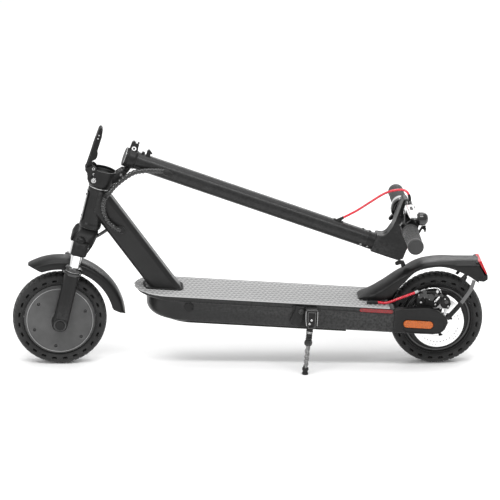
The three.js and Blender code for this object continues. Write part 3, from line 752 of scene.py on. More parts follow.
def fork_crown():
    """A bridge that comes down from the steerer to a clamp round each stanchion."""
    offset = seen_from(FORK, COLLAR, (0, 0, 0)).x
    half = [(0, (offset - 22, offset + 22), (206, 226)), (20, (offset - 21, offset + 20), (202, 225)),
            (36, (-13, 30), (186, 217)), (46, (-15, 21), (168, 204)), (58, (-15, 20), (168, 201)),
            (64, (-10, 15), (172, 197))]
    sections = [(-y, x, z) for y, x, z in reversed(half[1:])] + half
    rows = []
    for y, xs, zs in sections:
        outline = box_outline(*xs, *zs, 7, 5)
        rows.append([Vector((x, y, z)) for x, z in outline])
    smoothed = [curve_through(line, 5) for line in zip(*rows)]
    bridge = loft([[tuple(line[step]) for line in smoothed] for step in range(len(smoothed[0]))])
    steerer_top = seen_from(FORK, COLLAR, (0, 0, -36)).z
    post = [(0, 216), (16.4, 216), (16.4, steerer_top), (0, steerer_top)]
    steerer = turned(post, 48, centre=(offset, 0, 0))
    make("fork_crown_cast", FORK, bridge, "steerer", "textured", ["fork_crown"])
    make("fork_steerer", FORK, steerer, "steerer", "steel")
    caps = []
    screws = []
    for _, side in SIDES:
        profile = rounded([(0, 196), (11.4, 196), (11.4, 205, 3), (9.4, 210, 4), (5, 212.4, 3), (0, 212.8)],
                          1, 4, closed=False)
        caps.append(turned(profile, 48, centre=(0, side * LEG_SPACING, 0)))
        for z in (178, 190):
            screws.append(bolt_head((19.4, side * 52, z), (1, 0, 0), 2.6, 1.8))
    make("fork_crown_caps", FORK, merged(*caps), "steerer", "plastic")
    make("fork_crown_screws", FORK, merged(*screws), "steerer", "steel")
    lower_ring = band(17, 23.6, -140.6, -138.4, 0.6)
    make("headset_lower_ring", COLLAR, lower_ring, "steerer", "dark_steel")


def fork_legs():
    for name, side in SIDES:
        y = side * LEG_SPACING
        tube = turned([(0, 62), (STANCHION_RADIUS, 62), (STANCHION_RADIUS, 172), (0, 172)], 64,
                      centre=(0, y, 0))
        make(f"stanchion_{name}_chromed", FORK, tube, "steerer", "chrome", [f"fork_stanchion_{name}"])
        profile = rounded([(0, -17, 0), (12, -16.4, 6), (17, -9, 8), (18, 4, 12), (17.4, 60, 0),
                           (17.4, 121, 2), (16, 122.4, 1), (0, 122.4, 0)], 2, 5, closed=False)
        leg = turned(profile, 64, centre=(0, y, 0))
        outer = prism(box_outline(-30, 30, -30, 16, 0), side * 60.4, side * 80, 0)
        inner = prism(box_outline(-30, 30, -30, 140, 0), side * 10, side * 33.6, 0)
        shaft = aimed(disc(7.2, 0, 60, 0.1), (0, side * 20, 0), (0, side, 0))
        make(f"fork_leg_{name}_cast", FORK, leg, "fork_lower", "cast", [f"fork_leg_{name}"],
             cuts=[outer, inner, shaft], sharp=30)
        seal = rounded([(12.5, 121), (18.6, 121), (20.6, 124), (20.6, 127.4), (17.6, 129.2), (17.6, 130.6),
                        (19.8, 132.4), (19.8, 137), (17, 139.6), (13.4, 140.6), (12.5, 140.6)], 0.7, 3)
        make(f"fork_seal_{name}", FORK, turned(seal + seal[:1], 72, centre=(0, y, 0)), "fork_lower", "gloss")
        wire = ring(17.4, 0.8, 129.9, centre=(0, y, 0))
        make(f"fork_seal_spring_{name}", FORK, wire, "fork_lower", "steel")
    axle = [disc(7, -61, 61, 0.5, "y")]
    rings = []
    for _, side in SIDES:
        axle.append(disc(10.6, side * 60, side * 63.4, 1.6, "y"))
        rings.append(band(11, 14, side * 59.6, side * 61.8, 0.7, 48, "y"))
    make("front_axle_caps", FRONT, merged(*axle), "fork_lower", "plastic", ["front_axle"])
    make("front_axle_washers", FRONT, merged(*rings), "fork_lower", "dark_steel")


FENDER_TOP_RADIUS = 146
FENDER_ARC = (6.3, 119.6)        # degrees from the rear end, round the axle, to the front tip


def dome_row(half, skirt, top, count=24):
    """Across a fender: up one side from the skirt, over a domed top, down the other side."""
    shoulder = top - min(14, (top - skirt) * 0.75)
    row = [(-half, skirt), (-half, (skirt + shoulder) / 2)]
    for step in range(count + 1):
        angle = math.pi * step / count
        y = -half * math.copysign(abs(math.cos(angle)) ** 0.85, math.cos(angle))
        row.append((y, shoulder + (top - shoulder) * abs(math.sin(angle)) ** 0.75))
    return row + [(half, (skirt + shoulder) / 2), (half, skirt)]


def open_sheet(rows):
    """A sheet through rows of points."""
    count = len(rows[0])
    vertices = [tuple(point) for row in rows for point in row]
    faces = []
    for row in range(len(rows) - 1):
        for index in range(count - 1):
            low, high = row * count + index, (row + 1) * count + index
            faces.append((low, low + 1, high + 1, high))
    return vertices, faces


def thicken(thing, thickness):
    """Gives a sheet its thickness, inwards, with a rounded rim."""
    solid = thing.modifiers.new("thickness", "SOLIDIFY")
    solid.thickness = thickness * MM
    solid.offset = -1
    rim = thing.modifiers.new("rim", "BEVEL")
    rim.width = thickness * 0.3 * MM
    rim.segments = 2
    rim.limit_method = "ANGLE"
    rim.angle_limit = math.radians(60)
    thing.modifiers.move(0, len(thing.modifiers) - 1)


def front_fender():
    rows = []
    steps = 56
    start, end = FENDER_ARC
    for step in range(steps + 1):
        degree = start + (end - start) * step / steps
        angle = math.radians(degree)
        skirt = 123.4 + 24 * max(0, (degree - 110) / (end - 110)) ** 1.1
        if degree < 14:
            skirt += 26 * ((14 - degree) / (14 - start)) ** 1.6
        tip = max(0, (degree - 106) / (end - 106))
        half = 31 * math.sqrt(1 - 0.86 * tip ** 2.4) * (1 - 0.3 * max(0, (9 - degree) / 3) ** 2)
        top = FENDER_TOP_RADIUS + 3.4 * (1 - eased(degree, 6, 60)) + 1.2
        rows.append([(r * math.cos(angle), y, r * math.sin(angle))
                     for y, r in dome_row(half, min(skirt, top - 1.2), top)])
    sheet = make("front_fender_moulded", FRONT, open_sheet(rows), "fork_lower", "plastic", ["front_fender"])
    thicken(sheet, 2.4)
    tabs = []
    screws = []
    for _, side in SIDES:
        plate = box_outline(-8, 8, 121, 132, 3)
        tabs.append(prism(plate, side * 29.8, side * 32.6, 0.7))
        screws.append(bolt_head((-12.6, side * 30.6, 126), (0, side, 0), 2.6, 1.6))
    make("front_fender_tabs", FORK, merged(*tabs), "fork_lower", "cast")
    make("front_fender_screws", FORK, merged(*screws), "fork_lower", "dark_steel")


# ---------------------------------------------------------------- head tube, collar and latch
HINGE = (40, -1)                 # the fold pin, in the collar's frame
LATCH_PIVOT = (-36.5, -6)
HEAD_PLATE_BEND = 30             # radius that the plate on the head tube is bent to


def head_tube():
    profile = rounded([(17.2, -138), (25, -138), (25, -131, 3), (24, -126, 6), (23.6, -60, 6),
                       (24.4, -50, 3), (24.4, -43.8), (17.2, -43.8)], 0.8, 3)
    make("head_tube_welded", COLLAR, turned(profile + profile[:1], 96), "frame", "paint", ["head_tube"])
    seam = band(17.4, 25, -43.6, -41.8, 0.5, 96)
    make("headset_upper_ring", COLLAR, seam, "frame", "steel")
    flat, faces = prism(box_outline(-14, 14, -127, -56, 5), -26.4, -24.6, 0.6, "x")
    curved = [(x + HEAD_PLATE_BEND * (1 - math.cos(y / HEAD_PLATE_BEND)) * 0.9, y, z) for x, y, z in flat]
    make("head_plate", COLLAR, (curved, faces), "frame", "gloss")
    pegs = [aimed(disc(2.2, 0, 3.4, 0.2), (-26, 0, z), (1, 0, 0)) for z in (-66, -117)]
    make("head_plate_pegs", COLLAR, merged(*pegs), "frame", "dark_steel")


def fold_collar():
    cup = rounded([(16.9, -41.6), (24.4, -41.6), (28.6, -36, 4), (30, -28, 5), (30, 0), (26, 0),
                   (26, -28), (16.9, -28)], 1.1, 3)
    cheek = [(22, -30), (HINGE[0], HINGE[1] - 13)]
    cheek += circle(12, 14, HINGE, -math.pi / 2, math.pi / 2) + [(26, -3), (22, -5)]
    cheeks = [prism(rounded(cheek, 1.5, 2), side * 9.4, side * 17, 1.4) for _, side in SIDES]
    ear = [(-16, -37), (-24, -35.5), (-32.5, -27), (-35, -14)]
    ear += circle(5.4, 10, LATCH_PIVOT, math.pi * 1.15, math.pi * 0.6) + [(-30, 5), (-24, 7), (-16, 2)]
    ears = [prism(rounded(ear, 2, 3), side * 14.5, side * 20, 1.4) for _, side in SIDES]
    inside = turned([(0, -27.9), (25.9, -27.9), (25.9, 20), (0, 20)], 64)
    make("fold_collar_cup", COLLAR, turned(cup + cup[:1], 96), "steerer", "cast", ["fold_collar"])
    make("fold_collar_ears", COLLAR, merged(*cheeks, *ears), "steerer", "cast", cuts=[inside])
    lining = rounded([(19, -14), (25.8, -14), (25.8, -5.5), (24.4, -5.5), (23, -11), (19, -12)], 0.5, 2)
    make("collar_lining", COLLAR, turned(lining + lining[:1], 96), "steerer", "dark_steel")
    dish = turned([(0, -27.8), (18, -27.8), (20, -25), (14, -22.5), (6, -22.5), (5, -24), (0, -24)], 48)
    make("collar_star_nut", COLLAR, dish, "steerer", "dark_steel")
    bolts = []
    dark = []
    for _, side in SIDES:
        bolts.append(bolt_head((-18, side * 24, -25), (-0.1, side, 0), 5.9, 3))
        bolts.append(band(1.7, 3.3, side * 19.6, side * 21.4, 0.4, 32, "y", (-24.5, 0, 0.6)))
        bolts.append(bolt_head((-21, side * 19.8, -11.4), (0, side, 0), 3, 2.4))
        dark.append(bolt_head((HINGE[0], side * 16.8, HINGE[1]), (0, side, 0), 5.6, 2.6))
        dark.append(bolt_head((-24.5, side * 19.4, 0.6), (0, side, 0), 1.6, 1.4))
        dark.append(disc(7.2, side * 19.4, side * 24.2, 0.8, "y", (-18, 0, -25)))
    make("collar_bolts", COLLAR, merged(*bolts), "steerer", "steel")
    make("collar_dark_bolts", COLLAR, merged(*dark), "steerer", "dark_steel")


def latch_lever():
    outline = circle(5.6, 10, LATCH_PIVOT, math.pi * 1.05, math.pi * 1.95)
    outline += [(-30, 0), (-22, 3), (-30, 8), (-31, 15), (-24, 21), (-22, 27), (-22.6, 36), (-25, 39),
                (-23.8, 55), (-22.6, 74), (-24.2, 92), (-29, 96), (-32.9, 91), (-35, 71), (-37, 52),
                (-38.2, 32), (-40.5, 4)]
    blade = prism(rounded(outline, 2, 3), -14, 14, 1.8, steps=4)
    slot = prism(box_outline(-8, 8, -20, 70, 6), -60, 0, 0, "x")
    make("latch_lever_cast", COLLAR, blade, "latch", "textured", ["latch_lever"], cuts=[slot])
    pins = []
    for _, side in SIDES:
        for x, z in ((-30, 77.5), (-30.3, 69.5)):
            pins.append(bolt_head((x, side * 13.8, z), (0, side, 0), 1.7, 1))
    make("latch_pins", COLLAR, merged(*pins), "latch", "steel")


# ---------------------------------------------------------------- stem
TUBE_AT = -40                   # the stem tube's axis, across from the fold pin
TUBE_RADIUS = 20
TUBE_END = 597
BAR = (-115, 648)
BAR_RADIUS = 12.7
BAR_HALF = 214
BRAKE_TILT = math.radians(23)


def stem_base():
    profile = rounded([(0, 3), (22.6, 3), (22.6, 15, 2), (21.2, 20, 2), (0, 20)], 1, 3, closed=False)
    cap = turned(profile, 96, centre=(TUBE_AT, 0, 0))
    plan = [(-64, -6), *circle(23, 30, (TUBE_AT, 0), math.radians(225), math.radians(315)),
            (-15, -8.4), (-15, 8.4), *circle(23, 30, (TUBE_AT, 0), math.radians(45), math.radians(135)),
            (-64, 6)]
    flange = prism(plan, 1.2, 5, 0.8, "z")
    spigot = disc(21.6, -7, 1.8, 1, centre=(TUBE_AT, 0, 0), sides=96)
    make("stem_base_spigot", STEM, spigot, "stem", "textured")
    wear_ring = ring(21.4, 0.7, -6.4, centre=(TUBE_AT, 0, 0), sides=96)
    make("stem_base_wear_ring", STEM, wear_ring, "stem", "steel")
    knuckle_side = [(-30, 1.4), (-10.4, 1.4), *circle(9.2, 16, (0, 0), -math.pi, math.pi / 2),
                    (-12, 14), (-30, 18)]
    knuckle = prism(knuckle_side, -9, 9, 1.2)
    lug_side = rounded([(-56, -1.4), (-76, -1.4), (-80, 0), (-81.5, 4), (-79, 7), (-80, 12), (-77, 15.5),
                        (-70, 16), (-56, 19)], 1.4, 3)
    lug = prism(lug_side, -6, 6, 1.2)
    make("stem_base_cast", STEM, merged(cap, flange, knuckle, lug), "stem", "cast", ["stem_base"])
    rings = [band(2.4, 5.3, side * 5.8, side * 7.8, 0.7, 40, "y", (-66, 0, 7)) for _, side in SIDES]
    cores = [bolt_head((-66, side * 5.8, 7), (0, side, 0), 2.3, 1.4) for _, side in SIDES]
    make("stem_lug_bolts", STEM, merged(*rings), "stem", "chrome")
    make("stem_lug_sockets", STEM, merged(*cores), "stem", "dark_steel")
    roller = merged(disc(2.6, -5.6, 5.6, 0.6, "y", (-79, 0, 9.4)), disc(1.8, -4, 4, 0.4, "y", (-84, 0, 14)))
    make("stem_catch_roller", STEM, roller, "stem", "chrome")
    strut = prism(rounded([(-70, 12), (-79, 10), (-84.6, 14), (-83.6, 16.6), (-77, 14.6), (-70, 15)], 1, 3),
                  -2.4, 2.4, 0.8)
    make("stem_catch_finger", STEM, strut, "stem", "dark_steel")
    step = prism(box_outline(-64.6, -57, 28, 35, 2.4), -4, 4, 1)
    post = rounded([(-57, 38.5), (-63, 38.5), (-70, 38), (-74, 41), (-71.5, 45), (-67, 51.5), (-65, 50),
                    (-66, 47), (-57, 48.8)], 1.2, 3)
    make("bag_hook", STEM, merged(step, prism(post, -4.5, 4.5, 1.1)), "stem", "cast")


def stem_tube():
    profile = rounded([(16.8, 20.4), (TUBE_RADIUS, 20.4), (TUBE_RADIUS, TUBE_END + 4), (16.8, TUBE_END + 4)],
                      0.5, 2)
    tube = turned(profile + profile[:1], 128, centre=(TUBE_AT, 0, 0))
    make("stem_tube_drawn", STEM, tube, "stem", "paint", ["stem_tube"])
    bead = ring(20.2, 1.2, 20.6, centre=(TUBE_AT, 0, 0), sides=96)
    make("stem_weld", STEM, bead, "stem", "paint")
    rim = prism(oval(12.5, 5), 0.2, 2.2, 0.9, "z")
    turn = Matrix(((0, 0, -1), (0, 1, 0), (1, 0, 0))).to_4x4()
    grommet = moved(rim, Matrix.Translation((TUBE_AT - TUBE_RADIUS + 1, 0, 505)) @ turn)
    make("stem_grommet", STEM, grommet, "stem", "soft")
    sleeve = sweep([(TUBE_AT - 2, -17, 82), (TUBE_AT - 1, -19.4, 90), (TUBE_AT, -19.4, 98),
                    (TUBE_AT + 1, -17, 106)], lambda share: 7.6 - 5 * abs(share - 0.5), 24)
    make("conduit_entry", STEM, sleeve, "stem", "soft")
    screws = []
    for z in (566, 582):
        screws.append(bolt_head((TUBE_AT - TUBE_RADIUS + 0.2, 0, z), (-1, 0, 0), 3, 1.8))
    make("stem_top_screws", STEM, merged(*screws), "stem", "dark_steel")
    bright = []
    for z in (570, 586):
        bright.append(bolt_head((TUBE_AT + 12, -15.8, z), (0.6, -0.8, 0), 2.6, 1.5))
    make("stem_side_screws", STEM, merged(*bright), "stem", "steel")


def stem_head():
    """The cast head: round where it takes the tube, then turned forward into a flat neck."""
    side = [(-20, TUBE_END - 6, 0), (-20, 640, 30), (-20.6, 664, 5), (-28, 674, 4), (-62, 674, 20),
            (-96, 672, 30), (-129, 664, 20), (-152, 646, 8), (-164, 632, 4), (-161, 623.5, 4),
            (-130, 624.5, 20), (-92, 624, 20), (-66, 617, 16), (-60, TUBE_END - 6, 0)]
    outline = rounded(side, 6, 6)
    body = prism(outline, -21, 21, 3.4, steps=4)
    bar_hole = prism(circle(BAR_RADIUS + 0.2, 48, BAR), -40, 40, 0)
    well = turned([(0, 670), (6.6, 670), (6.6, 690), (0, 690)], 48, centre=(-50, 0, 0))
    below = prism(box_outline(-64, -16, TUBE_END - 12, TUBE_END + 0.4), -30, 30, 0)
    make("stem_head_cast", STEM, body, "stem", "cast", ["stem_head"], cuts=[bar_hole, well, below], sharp=32)
    bend = [(TUBE_AT, 0, 578), (TUBE_AT, 0, 594), (-43.5, 0, 612), (-54, 0, 628), (-72, 0, 640),
            (-96, 0, 646)]
    blend = sweep(bend, lambda share: 20.3 - 0.9 * share, 64)
    make("stem_head_bend", STEM, blend, "stem", "cast", cuts=[well])
    cheek = rounded([(-118, 625.6), (-160, 624.6), (-162, 632), (-148, 644), (-128, 656), (-118, 658)],
                    2.4, 3)
    pads = [prism(cheek, side * 20.4, side * 21.6, 0.5) for _, side in SIDES]
    make("stem_head_cheeks", STEM, merged(*pads), "stem", "dark")
    screws = []
    for _, side in SIDES:
        for x in (-124, -152):
            screws.append(bolt_head((x, side * 21.4, 630), (0, side, 0), 1.8, 1.0))
    make("stem_head_screws", STEM, merged(*screws), "stem", "dark_steel")
    # painted highlight: thin grey lines along the neck's lower edges stand in for the light caught there
    edges = []
    for _, side in SIDES:
        line = [(-106, side * 19.9, 624.2), (-130, side * 19.9, 623.8), (-158, side * 19.8, 623.2)]
        edges.append(sweep(line, 0.6, 10))
    make("stem_head_painted_highlight", STEM, merged(*edges), "stem", "strut")


def display():
    face = [(-64, 674.3), (-96, 672.4), (-129, 664.4), (-151, 647.4), (-154, 650), (-131, 668),
            (-97, 676.6), (-64, 678.4)]
    panel = prism(rounded(face, 1.4, 3), -24, 24, 2.2, steps=4)
    make("display_glass", STEM, panel, "stem", "gloss", ["display_panel"])
    button = rounded([(0, 671.9), (6, 671.9), (6, 676.8), (5, 677.5), (3.4, 677.1), (0, 676.8)], 0.4, 2,
                     closed=False)
    make("mode_button_cap", STEM, turned(button, 48, centre=(-50, 0, 0)), "mode_button", "red",
         ["mode_button"])
    make("mode_button_ring", STEM, band(6.5, 8.2, 673.6, 675.6, 0.5, 48, centre=(-50, 0, 0)), "stem", "steel")


# ---------------------------------------------------------------- handlebar and its controls
def bar_ring(inner, outer, y0, y1, edge=0.8, sides=64):
    """A ring round the handlebar."""
    return band(inner, outer, min(y0, y1), max(y0, y1), edge, sides, "y", (BAR[0], 0, BAR[1]))


def handlebar():
    profile = rounded([(0, -BAR_HALF + 2.5), (BAR_RADIUS, -BAR_HALF + 2.5), (BAR_RADIUS, BAR_HALF - 2.5),
                       (0, BAR_HALF - 2.5)], 1, 2, closed=False)
    make("handlebar_tube", STEM, turned(profile, 64, "y", (BAR[0], 0, BAR[1])), "stem", "paint",
         ["handlebar"])
    for name, side in SIDES:
        start, end = (114.4 if side == RIGHT else 104), BAR_HALF + 1
        points = [(BAR_RADIUS + 0.3, start), (19.2, start), (19.4, start + 3), (17.2, start + 6)]
        ribs = 30
        for step in range(ribs):
            y = start + 10 + step * (end - start - 26) / ribs
            swell = 0.9 * math.sin(math.pi * (step + 0.5) / ribs)
            points += [(16.4 + swell, y), (17.2 + swell, y + 0.7), (17.2 + swell, y + 2.0),
                       (16.4 + swell, y + 2.6)]
        points += [(17.6, end - 14), (18.3, end - 5), (18.1, end - 1.6), (16.6, end), (15.4, end),
                   (15, end - 0.8), (0, end - 0.8)]
        points += [(0, end - 2.4), (BAR_RADIUS + 0.3, end - 2.4)]
        profile = [(radius, side * y) for radius, y in points]
        shape = turned(profile + profile[:1], 72, "y", (BAR[0], 0, BAR[1]))
        make(f"grip_{name}_ribbed", STEM, shape, "stem", "grip", [f"grip_{name}"], sharp=50)
    clamp = bar_ring(BAR_RADIUS + 0.1, 17.6, -101.4, -103.8, 0.5)
    make("grip_ring_near", STEM, clamp, "stem", "dark_steel")


def brake_lever_set():
    """The brake's perch and lever, turned down a little about the bar."""
    x, z = BAR
    to_bar = Matrix.Translation((x, 0, z))
    perch = STEM @ (to_bar @ Matrix.Rotation(-BRAKE_TILT, 4, "Y") @ Matrix.Translation((-x, 0, -z)))
    clamp = bar_ring(BAR_RADIUS + 0.3, 18.4, -86, -64, 1.6)
    horn_side = rounded([(x, z - 11), (-138, z - 9), (-158, z - 10.5), (-163, z), (-158, z + 10.5),
                         (-138, z + 9), (x, z + 11)], 3, 3)
    horn = prism(horn_side, -82, -56, 2.4)
    gap = prism(box_outline(-172, -142, z - 6.4, z + 6.4, 0), -92, -62, 0)
    hole = prism(circle(BAR_RADIUS + 0.3, 48, BAR), -90, -50, 0)
    make("brake_mount_clamp", STEM, clamp, "stem", "cast", ["brake_lever_mount"])
    make("brake_mount_horn", perch, horn, "stem", "textured", cuts=[gap, hole])
    barrel = sweep([(-156, -60, z), (-164, -55, z), (-171, -50, z)], 4.2, 24)
    make("brake_barrel", perch, barrel, "stem", "dark_steel")
    heads = [bolt_head((-152, -72, z + 9.4), (0, 0, 1), 3.6, 1.8),
             bolt_head((-152, -72, z - 9.4), (0, 0, -1), 3.6, 1.8)]
    knob = [bolt_head((x + 6, -74, z + 17.4), (0.3, 0, 1), 3, 2),
            disc(5.4, 17, 22, 1, "z", (x - 44, -62, z - 9)), disc(3.6, 21, 25, 1, "z", (x - 44, -62, z - 9))]
    make("brake_mount_bolts", perch, merged(*heads), "stem", "steel")
    make("brake_mount_knobs", perch, merged(*knob), "stem", "dark")
    blade = [(-148, -66), (-149, -80), (-162, -94), (-168, -110), (-169, -160), (-172, -184, 4),
             (-179, -187, 4), (-184, -172, 6), (-181, -108), (-174, -84), (-162, -64)]
    outline = rounded(blade, 5, 4)
    lever = prism(outline, z - 8.6, z + 8.6, 3.4, "z", 4)
    make("brake_lever_blade", perch, lever, "brake_lever", "lever", ["brake_lever"])
    face = Matrix.Translation((-187.6, -148, z)) @ Matrix.Rotation(math.radians(2), 4, "Z")
    pad = moved(prism(oval(19, 3.4), 4.2, 7.2, 0.8, "x"), face)
    make("brake_lever_pad", perch, pad, "brake_lever", "dark")


def throttle():
    x, z = BAR
    housing = merged(bar_ring(BAR_RADIUS + 0.3, 21, 66, 88, 2.4), bar_ring(14, 26, 68, 84, 3))
    make("throttle_housing", STEM, housing, "stem", "gloss", ["throttle_mount"])
    make("throttle_band", STEM, bar_ring(25.4, 26.3, 75.5, 77.5, 0.3), "stem", "dark_steel")
    make("far_grip_collar", STEM, bar_ring(BAR_RADIUS + 0.3, 20.4, 100, 114, 1.2), "stem", "silver")
    collar = bar_ring(BAR_RADIUS + 0.3, 18, 88.5, 99, 1.4)
    side = rounded([(x + 12, z - 8), (x + 26, z - 14), (x + 38, z - 18, 3), (x + 40, z - 12, 3),
                    (x + 30, z - 5), (x + 14, z + 4)], 3, 3)
    paddle = prism(side, 88.6, 99, 1.8)
    hole = prism(circle(BAR_RADIUS + 0.3, 48, BAR), 80, 110, 0)
    make("thumb_lever_ring", STEM, collar, "thumb_throttle", "dark", ["thumb_lever"])
    make("thumb_lever_paddle", STEM, paddle, "thumb_throttle", "dark", cuts=[hole])


def bell():
    x, z = BAR
    y = -93
    clamps = merged(bar_ring(BAR_RADIUS + 0.3, 19.4, -101, -87.5, 1.4),
                    bar_ring(BAR_RADIUS + 0.2, 17.4, -90, -60, 1))
    make("bell_clamp", STEM, clamps, "stem", "dark")
    nose = rounded([(x - 12, z - 24), (x - 4, z - 26), (x + 2, z - 18), (x - 10, z - 14)], 2, 3)
    block = rounded([(x - 30, z - 8), (x - 14, z - 14), (x - 12, z + 14), (x - 28, z + 10)], 3, 3)
    lock = merged(prism(nose, y - 5, y + 6, 1.2), prism(block, y - 4, y + 26, 1.6))
    make("bell_clamp_lock", STEM, lock, "stem", "gloss")
    arm = rounded([(x - 2, z + 10), (x - 17, z + 4), (x - 32, z + 4), (x - 37, z + 12), (x - 20, z + 14),
                   (x - 4, z + 16)], 2, 3)
    make("bell_bracket", STEM, prism(arm, y - 5, y + 5, 1.4), "stem", "dark")
    dome = rounded([(0, 0), (14.4, 0), (15.4, 1.2), (15.4, 9, 4), (13.4, 16, 5), (8.4, 20.6, 5), (0, 22)],
                   1, 5, closed=False)
    seat = (x - 33, y, z + 8)
    direction = (-0.34, 0, 0.94)
    make("bell_dome", STEM, aimed(turned(dome, 72), seat, direction), "stem", "gloss", ["bell"])
    base = turned(rounded([(0, -4), (9, -4), (12.6, -1.4), (12.6, 0.4), (0, 0.4)], 0.8, 2, closed=False), 48)
    make("bell_base", STEM, aimed(base, seat, direction), "stem", "dark_steel")
    knob = turned(rounded([(0, 16), (3.8, 16), (3.8, 27), (0, 27)], 1, 3, closed=False), 32,
                  centre=(x + 21, y + 5.5, z))
    link = rounded([(x + 19, z + 16), (x + 24, z + 16), (x + 23, z + 21), (x, z + 24), (x - 12, z + 26),
                    (x - 20, z + 32), (x - 23, z + 30), (x - 18, z + 22), (x, z + 19)], 1.4, 3)
    tip = rounded([(x - 13, z + 24), (x - 20, z + 31), (x - 16, z + 34), (x - 7, z + 35.5), (x - 7, z + 33),
                   (x - 12, z + 30)], 1.2, 3)
    lever = merged(prism(link, y + 4, y + 7, 0.7), prism(tip, y + 2, y + 9, 0.9), knob)
    make("bell_striker_lever", STEM, lever, "striker", "dark", ["bell_striker"])


def stem_cable():
    route = [(-63.2, 0, 507), (-70, -1, 512.5), (-96, -6, 534), (-131, -14, 557), (-155, -22, 572),
             (-171, -28, 586), (-181, -33, 600), (-186.5, -39, 611), (-186, -44, 619), (-181, -47, 625),
             (-174, -49, 629.5)]
    make("brake_cable_red", STEM, sweep(route, 2.7, 20), "stem", "red", ["brake_cable"])
    boot = sweep([(-60, 0.3, 504.4), (-65, -0.3, 508.4), (-71, -1.2, 513.3)],
                 lambda share: 4.4 - 1.2 * share, 20)
    make("brake_cable_boot", STEM, boot, "stem", "soft")
    ferrule = sweep([(-182, -46.4, 624.4), (-176, -48.6, 628.6), (-169, -51, 631)], 3.4, 20)
    make("brake_cable_ferrule", STEM, ferrule, "stem", "dark")


# ---------------------------------------------------------------- deck
DECK_HALF = 73
SHELL_REAR = 329
SHELL_HEIGHTS = (-60, -12.5)
CHARGE_PORT = (-140, -25)
STRIP_MIDDLE = (287.5, -8.9)


def deck_plan(front, half, rear=SHELL_REAR, sides=40):
    """A plan with a half-round front and a square rear."""
    points = [(rear, -half), *[(front + half + half * math.cos(a), half * math.sin(a)) for a in
                               [math.radians(270 - 180 * step / sides) for step in range(sides + 1)]],
              (rear, half)]
    return points


def deck_shell():
    loops = []
    low, high = SHELL_HEIGHTS
    steps = 14
    for step in range(steps + 1):
        z = low + (high - low) * step / steps
        rise = min(1, (z - low) / 22)
        tuck = 20 * (1 - math.sqrt(1 - (1 - rise) ** 2)) + 4 * (1 - (z - low) / (high - low))
        side = 5 * (1 - math.sqrt(max(0, 1 - (1 - min(1, (z - low) / 5)) ** 2)))
        loops.append([(x, y, z) for x, y in deck_plan(-235 + tuck, DECK_HALF - side)])
    lip = []
    for z, inset in ((-13, 12), (-11, 6.4), (-9, 3), (-7, 1.6), (-4.6, 1.4), (-3.5, 1.8), (-3.3, 2.6)):
        lip.append([(x, y, z) for x, y in deck_plan(-260 + inset, DECK_HALF - min(1.6, inset * 0.6))])
    side_recess = [prism(oval(39.5, 5.4, STRIP_MIDDLE), side * 72.1, side * 80, 0) for _, side in SIDES]
    port = prism(circle(9, 40, CHARGE_PORT), -90, -60, 0)
    notch = prism(box_outline(312, 340, -70, 5), -33, 33, 0)
    make("deck_shell_pressed", DECK, loft(loops), "frame", "paint", ["deck_shell"],
         cuts=side_recess + [port, notch])
    make("deck_lip", DECK, loft(lip), "frame", "paint", cuts=side_recess + [notch])
    make("charge_socket", DECK, prism(circle(8.6, 40, CHARGE_PORT), -67, -60, 0.4), "frame", "dark")
    plate = prism(deck_plan(-196, 66, 223), -64.4, -59.6, 1.4, "z")
    make("bottom_cover_plate", DECK, plate, "frame", "plastic", ["bottom_cover"])
    screws = [bolt_head((x, y, -64.2), (0, 0, -1), 2.4, 1.2) for x in range(-120, 221, 68) for y in (-59, 59)]
    make("bottom_cover_screws", DECK, merged(*screws), "frame", "dark_steel")
    for name, side in SIDES:
        strip = prism(oval(38.5, 4.4, STRIP_MIDDLE), side * 72.2, side * 73.9, 0.7)
        make(f"deck_strip_{name}", DECK, strip, "frame", "deep_red")


MAT_FRONT, MAT_REAR = -262, 318
WAVE_PITCH, WAVE_ROW = 10.4, 14.0
WAVE_HEIGHT = 1.3


def wave_height(x, y):
    """Embossed waves that run along the deck, row beside row."""
    row = y / WAVE_ROW
    column = x / WAVE_PITCH + 0.5 * (math.floor(row) % 2)
    bow = 0.22 * math.cos(2 * math.pi * column)
    crest = max(0, math.cos(2 * math.pi * (row % 1 - 0.5 + bow) * 0.9))
    return WAVE_HEIGHT * (crest ** 1.5 * (0.35 + 0.65 * abs(math.cos(math.pi * column))) - 1)


def deck_mat():
    half = DECK_HALF - 2
    across = 150
    along = 480
    rows = []
    for step in range(along + 1):
        x = MAT_FRONT + 0.4 + (MAT_REAR - MAT_FRONT - 0.4) * (step / along) ** 1.12
        from_centre = max(0, MAT_FRONT + half - x)
        width = math.sqrt(max(0.2, half * half - from_centre * from_centre))
        row = []
        for index in range(across + 1):
            y = width * (2 * index / across - 1)
            edge = min(width - abs(y), x - MAT_FRONT, 3) / 3
            row.append((x, y, wave_height(x, y) * min(1, edge * 1.5) - 0.5 * (1 - edge) ** 2))
        rows.append(row)
    top = open_sheet(rows)
    sheet = make("deck_mat_waves", DECK, top, "frame", "mat", ["deck_mat"], sharp=70)
    # the depth attribute, 0 on the crests and 1 in the valleys, drives the mat's painted shade
    depth = sheet.data.attributes.new("depth", "FLOAT", "POINT")
    to_deck = DECK.inverted()
    for vertex, value in zip(sheet.data.vertices, depth.data):
        value.value = min(1, -(to_deck @ vertex.co).z / WAVE_HEIGHT)
    solid = sheet.modifiers.new("thickness", "SOLIDIFY")
    solid.thickness = 2.6 * MM
    solid.offset = -1
    sheet.modifiers.move(0, len(sheet.modifiers) - 1)


